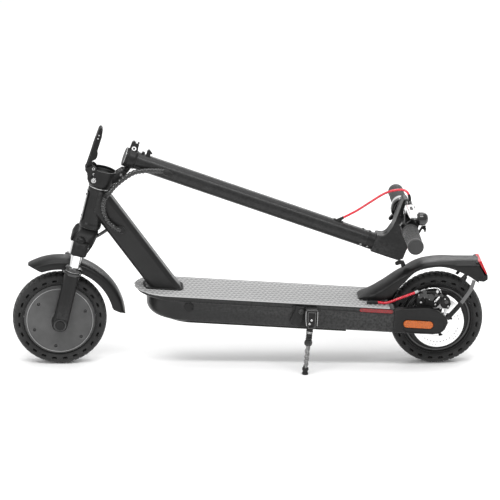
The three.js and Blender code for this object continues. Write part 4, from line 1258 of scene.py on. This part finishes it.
def charge_cap():
    x, z = CHARGE_PORT
    lid = disc(11, -74.8, -73.5, 0.6, "y", (x, 0, z))
    plug = disc(7, -74, -67.2, 0.5, "y", (x, 0, z))
    hook = rounded([(-147, -15.6), (-138, -15), (-131, -20), (-128.6, -24.6), (-131, -26), (-134.4, -21.6),
                    (-140, -18), (-147, -18)], 1, 3)
    tab = prism(hook, -76.2, -74, 0.6)
    lip = aimed(disc(1.6, 0, 1.6, 0.5), (-131.4, -75.4, -29.4), (0.2, -1, 0.2))
    make("charge_cap_lid", DECK, merged(lid, plug), "charge_cap", "plastic", ["charge_cap"])
    make("charge_cap_tabs", DECK, merged(tab, lip), "charge_cap", "plastic")


# ---------------------------------------------------------------- rear arms
def rear_arms():
    outline = rounded([(SHELL_REAR + 0.3, -3.4, 0), (345, 0.5, 8), (409, 5.4, 16), (430, -2, 16),
                       (450, -16, 10), (454, -27, 8), (448, -44, 10), (438, -54, 8), (420, -57, 8),
                       (SHELL_REAR + 0.3, -58, 0)], 6, 5)
    axle = seen_from(DECK, REAR, (0, 0, 0))
    for name, side in SIDES:
        recess = prism(oval(50, 19.5, (397, -35.5)), side * 75.8, side * 90, 0)
        pocket = prism(oval(35.4, 10.4, (386, -35)), side * 73.2, side * 90, 0)
        shaft = prism(circle(6.3, 24, (axle.x, axle.z)), side * 55, side * 70, 0)
        shape = prism(outline, side * 60, side * 78, 3, steps=4)
        make(f"rear_arm_{name}_cast", DECK, shape, "frame", "cast", [f"rear_arm_{name}"],
             cuts=[recess, pocket, shaft])
        glass = prism(oval(34, 8.8, (386, -35), 20), side * 74, side * 77.6, 1.2, steps=4)
        make(f"reflector_{name}_prismatic", DECK, glass, "frame", "amber", [f"side_reflector_{name}"])


# ---------------------------------------------------------------- kickstand
KICK_PIVOT = (138, -32)
KICK_FOOT = (556, -92)


def kickstand():
    pin_x, pin_z = KICK_PIVOT
    plate = rounded([(95, -8), (150, -8), (154, -44), (128, -54), (95, -54)], 4, 4)
    slant = rounded([(104, -6.6), (122, -8), (121, -40), (116, -57), (91, -45)], 3, 3)
    boss = rounded([(124, -9.6), (152, -8.6), (153.4, -45.4), (127.6, -47)], 2.4, 3)
    shape = merged(prism(plate, -75.4, -73.3, 0.8), prism(slant, -80, -75, 1.6), prism(boss, -84, -75, 1.4))
    make("kickstand_plate", DECK, shape, "frame", "cast", ["kickstand_bracket"])
    window = rounded([(129, -13), (147.4, -12.6), (148.4, -50), (132, -52)], 1.6, 3)
    hood = prism(boss, -98.4, -83.4, 1.4)
    hollow = prism(rounded([(125.4, -11), (158, -11), (158, -60), (125.4, -60)], 1, 2), -97, -83, 0)
    front_opening = prism(box_outline(110, 130, -60, -34), -97, -83, 0)
    make("kickstand_hood", DECK, hood, "frame", "textured", cuts=[hollow, front_opening])
    trim = prism(window, -99, -98, 0.4)
    well = prism(shrunk(window, 1), -101, -90, 0)
    make("kickstand_trim", DECK, trim, "frame", "strut", cuts=[well])
    # painted highlight: pale strips down the hood's side edges stand in for their rim highlights
    edges = [sweep([(125, -98, -11), (125.6, -98.2, -28), (128.4, -98, -46)], 0.7, 8),
             sweep([(151.4, -98.6, -10.4), (152.2, -98.8, -28), (152.6, -98.6, -44.6)], 0.6, 8)]
    make("kickstand_painted_highlights", DECK, merged(*edges), "frame", "silver")
    pins = [bolt_head((pin_x + 1, -98, pin_z + 0.3), (0, -1, 0), 2.5, 1.6),
            bolt_head((pin_x - 3, -98, pin_z - 8.4), (0, -1, 0), 2.5, 1.6)]
    shaft = disc(4, -97, -80, 0.5, "y", (pin_x, 0, pin_z))
    make("kickstand_pin", DECK, merged(shaft, *pins), "frame", "chrome")
    washer = band(3.8, 6.4, -81.4, -79.6, 0.5, 40, "y", (115.6, 0, -18.4))
    heads = [bolt_head((115.6, -79.8, -18.4), (0, -1, 0), 4.8, 2.6),
             bolt_head((163, -72.6, -17), (0, -1, 0), 2.8, 1)]
    make("kickstand_bolts", DECK, merged(washer, *heads), "frame", "dark_steel")
    pivot = seen_from(GROUND, DECK, (pin_x, 0, pin_z))
    top = Vector((pivot.x, -90, pivot.z))
    foot = Vector((KICK_FOOT[0] + 2.6, KICK_FOOT[1], 14))

    def down(share):
        return top.lerp(foot, share)

    eye = band(4.2, 9, -94.6, -85.4, 1.4, 48, "y", (top.x, 0, top.z))
    shank = sweep([down(0.06), down(0.12), down(0.2)], 5, 24)
    make("kickstand_eye", GROUND, merged(eye, shank), "kickstand", "dark_steel", ["kickstand_leg"])
    socket = sweep([down(0.13), down(0.18), down(0.245)], 7.6, 32)
    make("kickstand_socket", GROUND, socket, "kickstand", "textured")
    collars = [ring(7.4, 0.9, 0), ring(6.8, 0.8, 3.4)]
    lean = foot - top
    make("kickstand_collar", GROUND, merged(*[aimed(part, down(0.245), lean) for part in collars]),
         "kickstand", "steel")
    coil = spring(down(0.25), down(0.43), 6.2, 1.3, 5.5)
    make("kickstand_spring", GROUND, coil, "kickstand", "dark_steel")
    core = sweep([down(0.2), down(0.3), down(0.45)], 4.6, 24)
    make("kickstand_core", GROUND, core, "kickstand", "dark")
    nut = sweep([down(0.425), down(0.475), down(0.525)], lambda share: 9.4 - 3 * abs(share - 0.5), 6, 6)
    make("kickstand_nut", GROUND, nut, "kickstand", "dark_steel")
    lobes = []
    for step in range(36):
        angle = 2 * math.pi * step / 36
        size = 1 + 0.26 * math.cos(3 * angle)
        lobes.append((size * math.cos(angle), size * math.sin(angle)))
    rod = sweep([down(0.5), down(0.7), down(0.85), foot], 4.6, steps=20, section=lobes, twist=3 * math.pi)
    make("kickstand_rod", GROUND, rod, "kickstand", "zinc")
    bottom = Vector((KICK_FOOT[0] + 2, KICK_FOOT[1], 0.3))
    boot = sweep([foot + Vector((0.2, 0, 3)), foot.lerp(bottom, 0.3), foot.lerp(bottom, 0.7), bottom],
                 lambda share: 6.6 + 0.8 * math.sin(share * math.pi * 3), 32)
    make("kickstand_boot", GROUND, boot, "kickstand", "soft", ["kickstand_foot"])


# ---------------------------------------------------------------- down tube
DOWN_TUBE_MIDDLE = (186.5, 0, 256)
DOWN_TUBE_SLOPE = 36.5           # degrees back from upright


def down_tube():
    """A rounded box section that runs from under the collar down into the deck's front."""
    middle = Vector(DOWN_TUBE_MIDDLE)
    slope = math.radians(DOWN_TUBE_SLOPE)
    along = Vector((-math.sin(slope), 0, math.cos(slope)))
    over = Vector((math.cos(slope), 0, math.sin(slope)))
    side = Vector((0, 1, 0))
    loops = []
    reach_low, reach_high = -185, 215
    steps = 30
    for step in range(steps + 1):
        run = reach_low + (reach_high - reach_low) * step / steps
        flare = 1 + 0.05 * (1 - eased(run, -112, -80))
        section = rounded([(-25.7, -28), (25.7, -28), (25.7, 28), (-25.7, 28)], 12, 6)
        loops.append([middle + along * run + side * y * flare + over * z * flare for y, z in section])
    under = moved(prism(box_outline(-500, 200, -300, -1), -100, 100, 0), GROUND.inverted() @ DECK)
    head = moved(turned([(0, -400), (22.6, -400), (22.6, 200), (0, 200)], 64), GROUND.inverted() @ COLLAR)
    ahead = moved(prism(box_outline(-400, 0, -400, 400), -100, 100, 0), GROUND.inverted() @ COLLAR)
    above = moved(prism(box_outline(-100, 300, -47.8, 300), -100, 100, 0), GROUND.inverted() @ COLLAR)
    make("down_tube_formed", GROUND, loft(loops), "frame", "paint", ["down_tube"],
         cuts=[under, head, ahead, above])
    foot_ring = []
    base = rounded([(-243, -31.4), (-151, -31.4), (-151, 31.4), (-243, 31.4)], 17, 12)
    inner = shrunk(base, 4.4)
    levels = [(base, -1.6), (shrunk(base, 0.5), 1.4), (shrunk(base, 2), 2.4), (shrunk(base, 3.6), 1.4),
              (inner, -1.6)]
    for outline, z in levels:
        foot_ring.append([(x, y, z) for x, y in outline])
    make("down_tube_ring", DECK, loft(foot_ring, capped=False), "frame", "soft")
    grommet = sweep([(130, -25.2, 329), (137, -27.2, 325), (144, -25.2, 320)],
                    lambda share: 8.6 - 5 * abs(share - 0.5), 24)
    make("conduit_grommet", GROUND, grommet, "frame", "soft")


# ---------------------------------------------------------------- rear fender, light and struts
REAR_TOP = [(-183, 51.6), (-173, 57.4), (-143, 75), (-120, 89.6), (-98, 105.4), (-75, 119), (-53, 130.6),
            (-30, 138.6), (4, 143), (40, 143.6), (92, 143.4)]
REAR_UNDER = [(-183, 50.4), (-150, 50), (-130, 50.6), (-110, 57), (-104, 66), (-81, 91), (-53, 119),
              (-12, 130), (23, 127.6), (65, 110), (92, 92)]
REAR_HALF = 34
REAR_NOSE, REAR_TAIL = -182.5, 91.5


def height_at(line, x):
    """The height of a line of points at x."""
    for (x0, z0), (x1, z1) in zip(line, line[1:]):
        if x <= x1:
            return z0 + (z1 - z0) * (x - x0) / (x1 - x0)
    return line[-1][1]


def rear_fender():
    top_line = [(p.x, p.y) for p in curve_through(REAR_TOP, 6)]
    under_line = [(p.x, p.y) for p in curve_through(REAR_UNDER, 6)]
    rows = []
    steps = 84
    for step in range(steps + 1):
        x = REAR_NOSE + (REAR_TAIL - REAR_NOSE) * step / steps
        nose = eased(x, -184, -150)
        half = REAR_HALF * (0.55 + 0.45 * math.sqrt(max(0, 1 - (1 - min(1, (x + 183) / 46)) ** 2)))
        top = height_at(top_line, x)
        under = min(height_at(under_line, x), top - 0.8)
        drop = (3 + 11 * nose) * min(1, (top - under) / 22)
        row = [(x, -half, under), (x, -half, under + (top - drop - under) * 0.5)]
        count = 26
        for index in range(count + 1):
            angle = math.pi * index / count
            bend = math.cos(angle)
            y = -half * math.copysign(abs(bend) ** 0.8, bend)
            row.append((x, y, top - drop + drop * abs(math.sin(angle)) ** 0.95))
        row += [(x, half, under + (top - drop - under) * 0.5), (x, half, under)]
        rows.append(row)
    sheet = make("rear_fender_moulded", REAR, open_sheet(rows), "frame", "plastic", ["rear_fender"])
    thicken(sheet, 2.6)
    rear_face = rounded([(89, 142.8, 1), (96.4, 143.4, 2), (111.4, 112, 3), (107.4, 110, 2), (89, 138, 1)],
                        2, 4)
    lens_body = prism(rear_face, -29.6, 29.6, 2.4, steps=5)
    make("tail_light_lens", REAR, lens_body, "frame", "red_lens", ["tail_light"])
    back = rounded([(84, 140, 2), (90, 142.6, 1), (107, 112, 3), (112, 111, 3), (113, 99, 4), (104, 93.4, 4),
                    (91, 95, 3), (84, 100, 2)], 2, 4)
    make("tail_light_bezel", REAR, prism(back, -31.6, 31.6, 3), "frame", "plastic")
    hook = rounded([(-84, 118), (-85.5, 128), (-95, 124.6), (-99, 127), (-98.6, 131), (-88, 136.4),
                    (-78, 134.6), (-74.5, 125)], 1.8, 4)
    make("stem_hook_moulded", REAR, prism(hook, -5, 5, 1.4), "frame", "cast", ["stem_hook"])


def flat_bar(points, wide, thick):
    """A flat strip on its edge through points, its width upright."""
    section = rounded([(-wide / 2, -thick / 2), (wide / 2, -thick / 2), (wide / 2, thick / 2),
                       (-wide / 2, thick / 2)], thick * 0.3, 2)
    return sweep(points, 1, section=section)


def fender_struts():
    for name, side in SIDES:
        top, bend = Vector((80, side * 38, 100)), Vector((70, side * 52, 80))
        knee, foot = Vector((46, side * 64, 50)), Vector((16, side * 75, 20))
        strap = flat_bar([top, bend, knee, knee.lerp(foot, 0.2)], 8.6, 2.4)
        make(f"strut_{name}_strap", REAR, strap, "frame", "strut", [f"fender_strut_{name}"])
        lower = flat_bar([bend.lerp(knee, 0.88), knee.lerp(foot, 0.3), foot], 10.6, 4)
        make(f"strut_{name}_foot", REAR, lower, "frame", "cast")
        inner = flat_bar([(62, side * 33, 108), (56, side * 40, 98), (50, side * 46, 88)], 7, 2)
        make(f"strut_{name}_stay", REAR, inner, "frame", "cast")
        head = bolt_head((76, side * 42.4, 93), (0.2, side, 0.4), 3.2, 1.8)
        make(f"strut_{name}_screw", REAR, head, "frame", "steel")


# ---------------------------------------------------------------- rear brake
def rear_brake():
    body = rounded([(-52, 40), (-53, 64), (-46, 74), (-34, 79), (-10, 80), (0, 74), (6, 64), (0, 46),
                    (-8, 40)], 4, 4)
    slot = prism(box_outline(-70, 40, 20, 64), -42.5, -36.2, 0)
    windows = [prism(rounded([(-44, 50), (-34, 48), (-30, 62), (-42, 64)], 3, 3), -62, -54, 0),
               prism(circle(9.6, 40, (-20, 66)), -62, -54.5, 0),
               prism(rounded([(-14, 44), (-4, 46), (-2, 56), (-12, 54)], 2, 3), -62, -54, 0)]
    make("caliper_body", REAR, prism(body, -57, -29, 2.6), "frame", "textured", ["brake_caliper"],
         cuts=[slot] + windows)
    tail = rounded([(0, 50), (8, 66), (14, 69), (24, 60), (27, 47), (22, 36), (8, 38)], 3, 4)
    make("caliper_carrier", REAR, prism(tail, -54, -43.5, 2), "frame", "cast")
    parts = [disc(8.8, -58.4, -54, 1, "y", (-20, 0, 66)), disc(5.4, -57.8, -54, 0.8, "y", (-45, 0, 68)),
             disc(5, -56.4, -50, 0.8, "y", (16, 0, 54)), disc(4.4, -57.8, -54, 0.8, "y", (-8, 0, 70)),
             prism(box_outline(-40, -30, 70, 82, 2), -60, -52, 1),
             prism(rounded([(-2, 72), (4, 76), (10, 70), (6, 64)], 1.4, 3), -58, -46, 1)]
    make("caliper_plugs", REAR, merged(*parts), "frame", "gloss")
    spots = ((-43, 54, 2.6), (-23, 62.4, 2.3), (-35, 66, 1.7), (-10, 49, 2.2), (12, 62, 1.9), (20, 44, 2.4),
             (-48, 72, 1.7), (2, 40, 2.2))
    screws = [bolt_head((x, -58, z), (0, -1, 0), size, 1.6) for x, z, size in spots]
    make("caliper_screws", REAR, merged(*screws), "frame", "steel")
    coil = spring((-10, -59.6, 58), (-1, -59.6, 68), 2.4, 0.8, 6)
    make("caliper_spring", REAR, coil, "frame", "chrome")
    link = sweep([(-12, -60.4, 56), (-6, -61, 63), (0, -60.4, 69)], 1.1, 10)
    make("caliper_link", REAR, link, "frame", "chrome")
    low_bolts = [aimed(turned([(0, 0), (3, 0), (3, 9), (0, 9)], 6), (x, -48, 39), (0.9, 0, 0.2))
                 for x in (-50, -30, 6)]
    make("caliper_low_bolts", REAR, merged(*low_bolts), "frame", "steel")
    pads = [prism(box_outline(-44, -14, 42, 63, 3), low, low + 1.6, 0.4) for low in (-42.4, -37.9)]
    make("brake_pads", REAR, merged(*pads), "frame", "dark_steel")
    arm_side = rounded([(-20, 62), (-30, 64.4), (-44, 68), (-48, 72), (-45, 76), (-20, 74), (-14, 71),
                        (-14, 65)], 2, 3)
    shape = merged(prism(arm_side, -61, -58.6, 0.8), disc(7, -62.4, -59, 0.8, "y", (-20, 0, 68)))
    make("caliper_arm_pressed", REAR, shape, "caliper_arm", "dark_steel", ["caliper_arm"])
    route = [(-158, -50, 51.3), (-148, -50, 51.4), (-137, -50, 51), (-124, -50, 49.6), (-110, -49.6, 53),
             (-96, -49, 58.6), (-76, -48, 66), (-60, -47, 72), (-52, -46, 75)]
    make("rear_cable_red", REAR, sweep(route, 3, 20), "frame", "red", ["rear_brake_cable"])
    boot = sweep([(-166, -50, 50.6), (-156, -50, 51), (-141, -50, 51.2)], lambda s: 3.9 - 0.5 * s, 20)
    make("rear_cable_boot", REAR, boot, "frame", "soft")
    ferrules = merged(sweep([(-56, -46.4, 73.4), (-52, -46, 75), (-48, -46, 76.4)], 3.6, 20),
                      sweep([(-41, -46, 77.4), (-37, -46, 79), (-33, -46, 80.6)], 2.2, 20))
    make("rear_cable_ferrules", REAR, ferrules, "frame", "silver")
    wire = sweep([(-49, -46, 76), (-40, -46, 78.4), (-28, -46.4, 82.2), (-15, -47, 84.4), (-6, -49, 84.4),
                  (0, -52, 82), (3, -55, 76)], 1.2, 10)
    make("rear_inner_wire", REAR, wire, "frame", "chrome")
    nipple = merged(disc(3.4, -60.4, -56, 1, "y", (-6, 0, 80.3)),
                    sweep([(-6, -57.4, 84.4), (-6, -58, 80), (-6, -57.4, 76)], 1.6, 12))
    make("rear_wire_anchor", REAR, nipple, "frame", "steel")


# ---------------------------------------------------------------- conduits between the bodies
CONDUIT_UPPER = [(236, -16, 458), (228, -21, 462), (210.6, -24, 463.8), (188, -26, 463.7), (165.5, -28, 460),
                 (143, -30, 446.7), (122.9, -31.5, 429.6), (110, -33, 414), (103, -33.4, 406)]
CONDUIT_LOWER = [(101, -33.4, 404.5), (97, -34.5, 388), (99, -35, 366), (108, -35, 347), (122, -35, 334),
                 (136, -34.4, 325)]
MOTOR_CABLE = [(113, -9, 324), (106, -10, 319.5), (97, -11, 313.5), (89, -12, 308.5), (81, -13, 304)]


def ribbed_tube(points, radius, pitch, relief):
    """A tube wrapped in a spiral band."""
    path = curve_through(points, 40)
    length = sum((b - a).length for a, b in zip(path, path[1:]))
    turns = length / pitch
    shape = sweep(points, 1, 20, 40)
    sides = 20
    vertices = []
    for index, vertex in enumerate(shape[0]):
        row, spot = divmod(index, sides)
        share = row / (len(path) - 1)
        wave = math.sin(2 * math.pi * (share * turns + spot / sides))
        size = radius + relief * eased(wave, -0.2, 0.4)
        vertices.append(tuple(path[row] + (Vector(vertex) - path[row]) * size))
    return vertices, shape[1]


def conduits():
    upper = make("conduit_upper_wrap", GROUND, ribbed_tube(CONDUIT_UPPER, 5.2, 7, 0.9), None, "conduit",
                 ["cable_conduit_upper"])
    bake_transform(upper)
    lower = make("conduit_lower_wrap", GROUND, ribbed_tube(CONDUIT_LOWER, 5.2, 7, 0.9), None, "conduit",
                 ["cable_conduit_lower"])
    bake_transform(lower)
    tie = sweep([(104.2, -32.9, 410), (102, -33.2, 406.3), (100.4, -33.6, 402)], 5.9, 24)
    make("conduit_tie", GROUND, tie, "steerer", "dark")
    motor = make("motor_cable_sheath", GROUND, sweep(MOTOR_CABLE, 3.8, 20), None, "conduit", ["motor_cable"])
    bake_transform(motor)


# ---------------------------------------------------------------- inner CAD nodes keep their meshes
def finish_inner_nodes():
    for node, look in INNER_NODES.items():
        thing = frame["nodes"][node]
        thing.data.materials.clear()
        thing.data.materials.append(LOOKS[look])


# ---------------------------------------------------------------- studio
ROOM_LIGHT = 0.7
LAMPS_AIM = (0, 0, 0.25)
LAMPS = (
    ("lamp_strip", (0.0, -1.25, 2.1), (2.8, 0.3), 34),
    ("lamp_top", (0.1, 0.3, 2.8), (2.8, 2.0), 40),
    ("lamp_side", (-2.4, -1.8, 1.3), (1.0, 0.8), 14),
    ("lamp_back", (1.2, 3.2, 2.2), (3.0, 1.2), 40),
)
CAMERA_TURN, CAMERA_RISE, CAMERA_ROLL = -3.95, 17.89, 1.23
CAMERA_AWAY = 7.48294
CAMERA_AIM = (-0.00357, 0, 0.26822)
CAMERA_LENS = 236.2
SENSOR_WIDTH = 36


def studio():
    """A pale floor that curves up behind, a bright even room and four soft lamps."""
    profile = [(-6, 0)]
    for step in range(11):
        angle = math.radians(9 * step)
        profile.append((4 + 3 * math.sin(angle), 3 - 3 * math.cos(angle)))
    profile.append((7, 7))
    vertices, faces = open_sheet([[(-9, y, z), (9, y, z)] for y, z in profile])
    mesh = bpy.data.meshes.new("studio_floor")
    mesh.from_pydata(vertices, [], faces)
    floor = bpy.data.objects.new("studio_floor", mesh)
    bpy.context.scene.collection.objects.link(floor)
    look = Look("studio_paper")
    look.set("Base Color", look.mix(look.spread(look.noise(3, 2), 0, 1), colour(248), colour(252)))
    look.set("Roughness", look.spread(look.noise(200, 2), 0.85, 0.95))
    look.bump(look.noise(400, 2), 0.02, 0.0002)
    mesh.materials.append(look.material)
    for polygon in mesh.polygons:
        polygon.use_smooth = True
    world = bpy.data.worlds.new("studio_room")
    world.use_nodes = True
    background = world.node_tree.nodes["Background"]
    background.inputs["Color"].default_value = (1, 1, 1, 1)
    background.inputs["Strength"].default_value = ROOM_LIGHT
    bpy.context.scene.world = world
    for name, at, size, power in LAMPS:
        data = bpy.data.lights.new(name, "AREA")
        data.shape = "RECTANGLE"
        data.size, data.size_y = size
        data.energy = power
        lamp = bpy.data.objects.new(name, data)
        lamp.location = at
        aim = Vector(LAMPS_AIM) - Vector(at)
        lamp.rotation_mode = "QUATERNION"
        lamp.rotation_quaternion = aim.to_track_quat("-Z", "Y")
        bpy.context.scene.collection.objects.link(lamp)


def camera():
    """The camera at the photo's angle, worked out from its turn, rise and roll."""
    turn, rise, roll = [math.radians(value) for value in (CAMERA_TURN, CAMERA_RISE, CAMERA_ROLL)]
    back = Vector((math.sin(turn) * math.cos(rise), -math.cos(turn) * math.cos(rise), math.sin(rise)))
    right = Vector((math.cos(turn), math.sin(turn), 0))
    up = back.cross(right)
    rolled_right = right * math.cos(roll) + up * math.sin(roll)
    rolled_up = up * math.cos(roll) - right * math.sin(roll)
    data = bpy.data.cameras.new("photo_camera")
    data.lens = CAMERA_LENS
    data.sensor_width = SENSOR_WIDTH
    data.clip_end = 50
    eye = bpy.data.objects.new("photo_camera", data)
    turn_matrix = Matrix((rolled_right, rolled_up, back)).transposed().to_4x4()
    eye.matrix_world = Matrix.Translation(Vector(CAMERA_AIM) + back * CAMERA_AWAY) @ turn_matrix
    bpy.context.scene.collection.objects.link(eye)
    bpy.context.scene.camera = eye


# ---------------------------------------------------------------- everything
front_wheel()
rear_wheel()
brake_disc()
fork_crown()
fork_legs()
front_fender()
head_tube()
fold_collar()
latch_lever()
stem_base()
stem_tube()
stem_head()
display()
handlebar()
brake_lever_set()
throttle()
bell()
stem_cable()
deck_shell()
deck_mat()
charge_cap()
rear_arms()
kickstand()
down_tube()
rear_fender()
fender_struts()
rear_brake()
conduits()
finish_inner_nodes()
studio()
camera()
bpy.context.scene.view_settings.view_transform = "Standard"
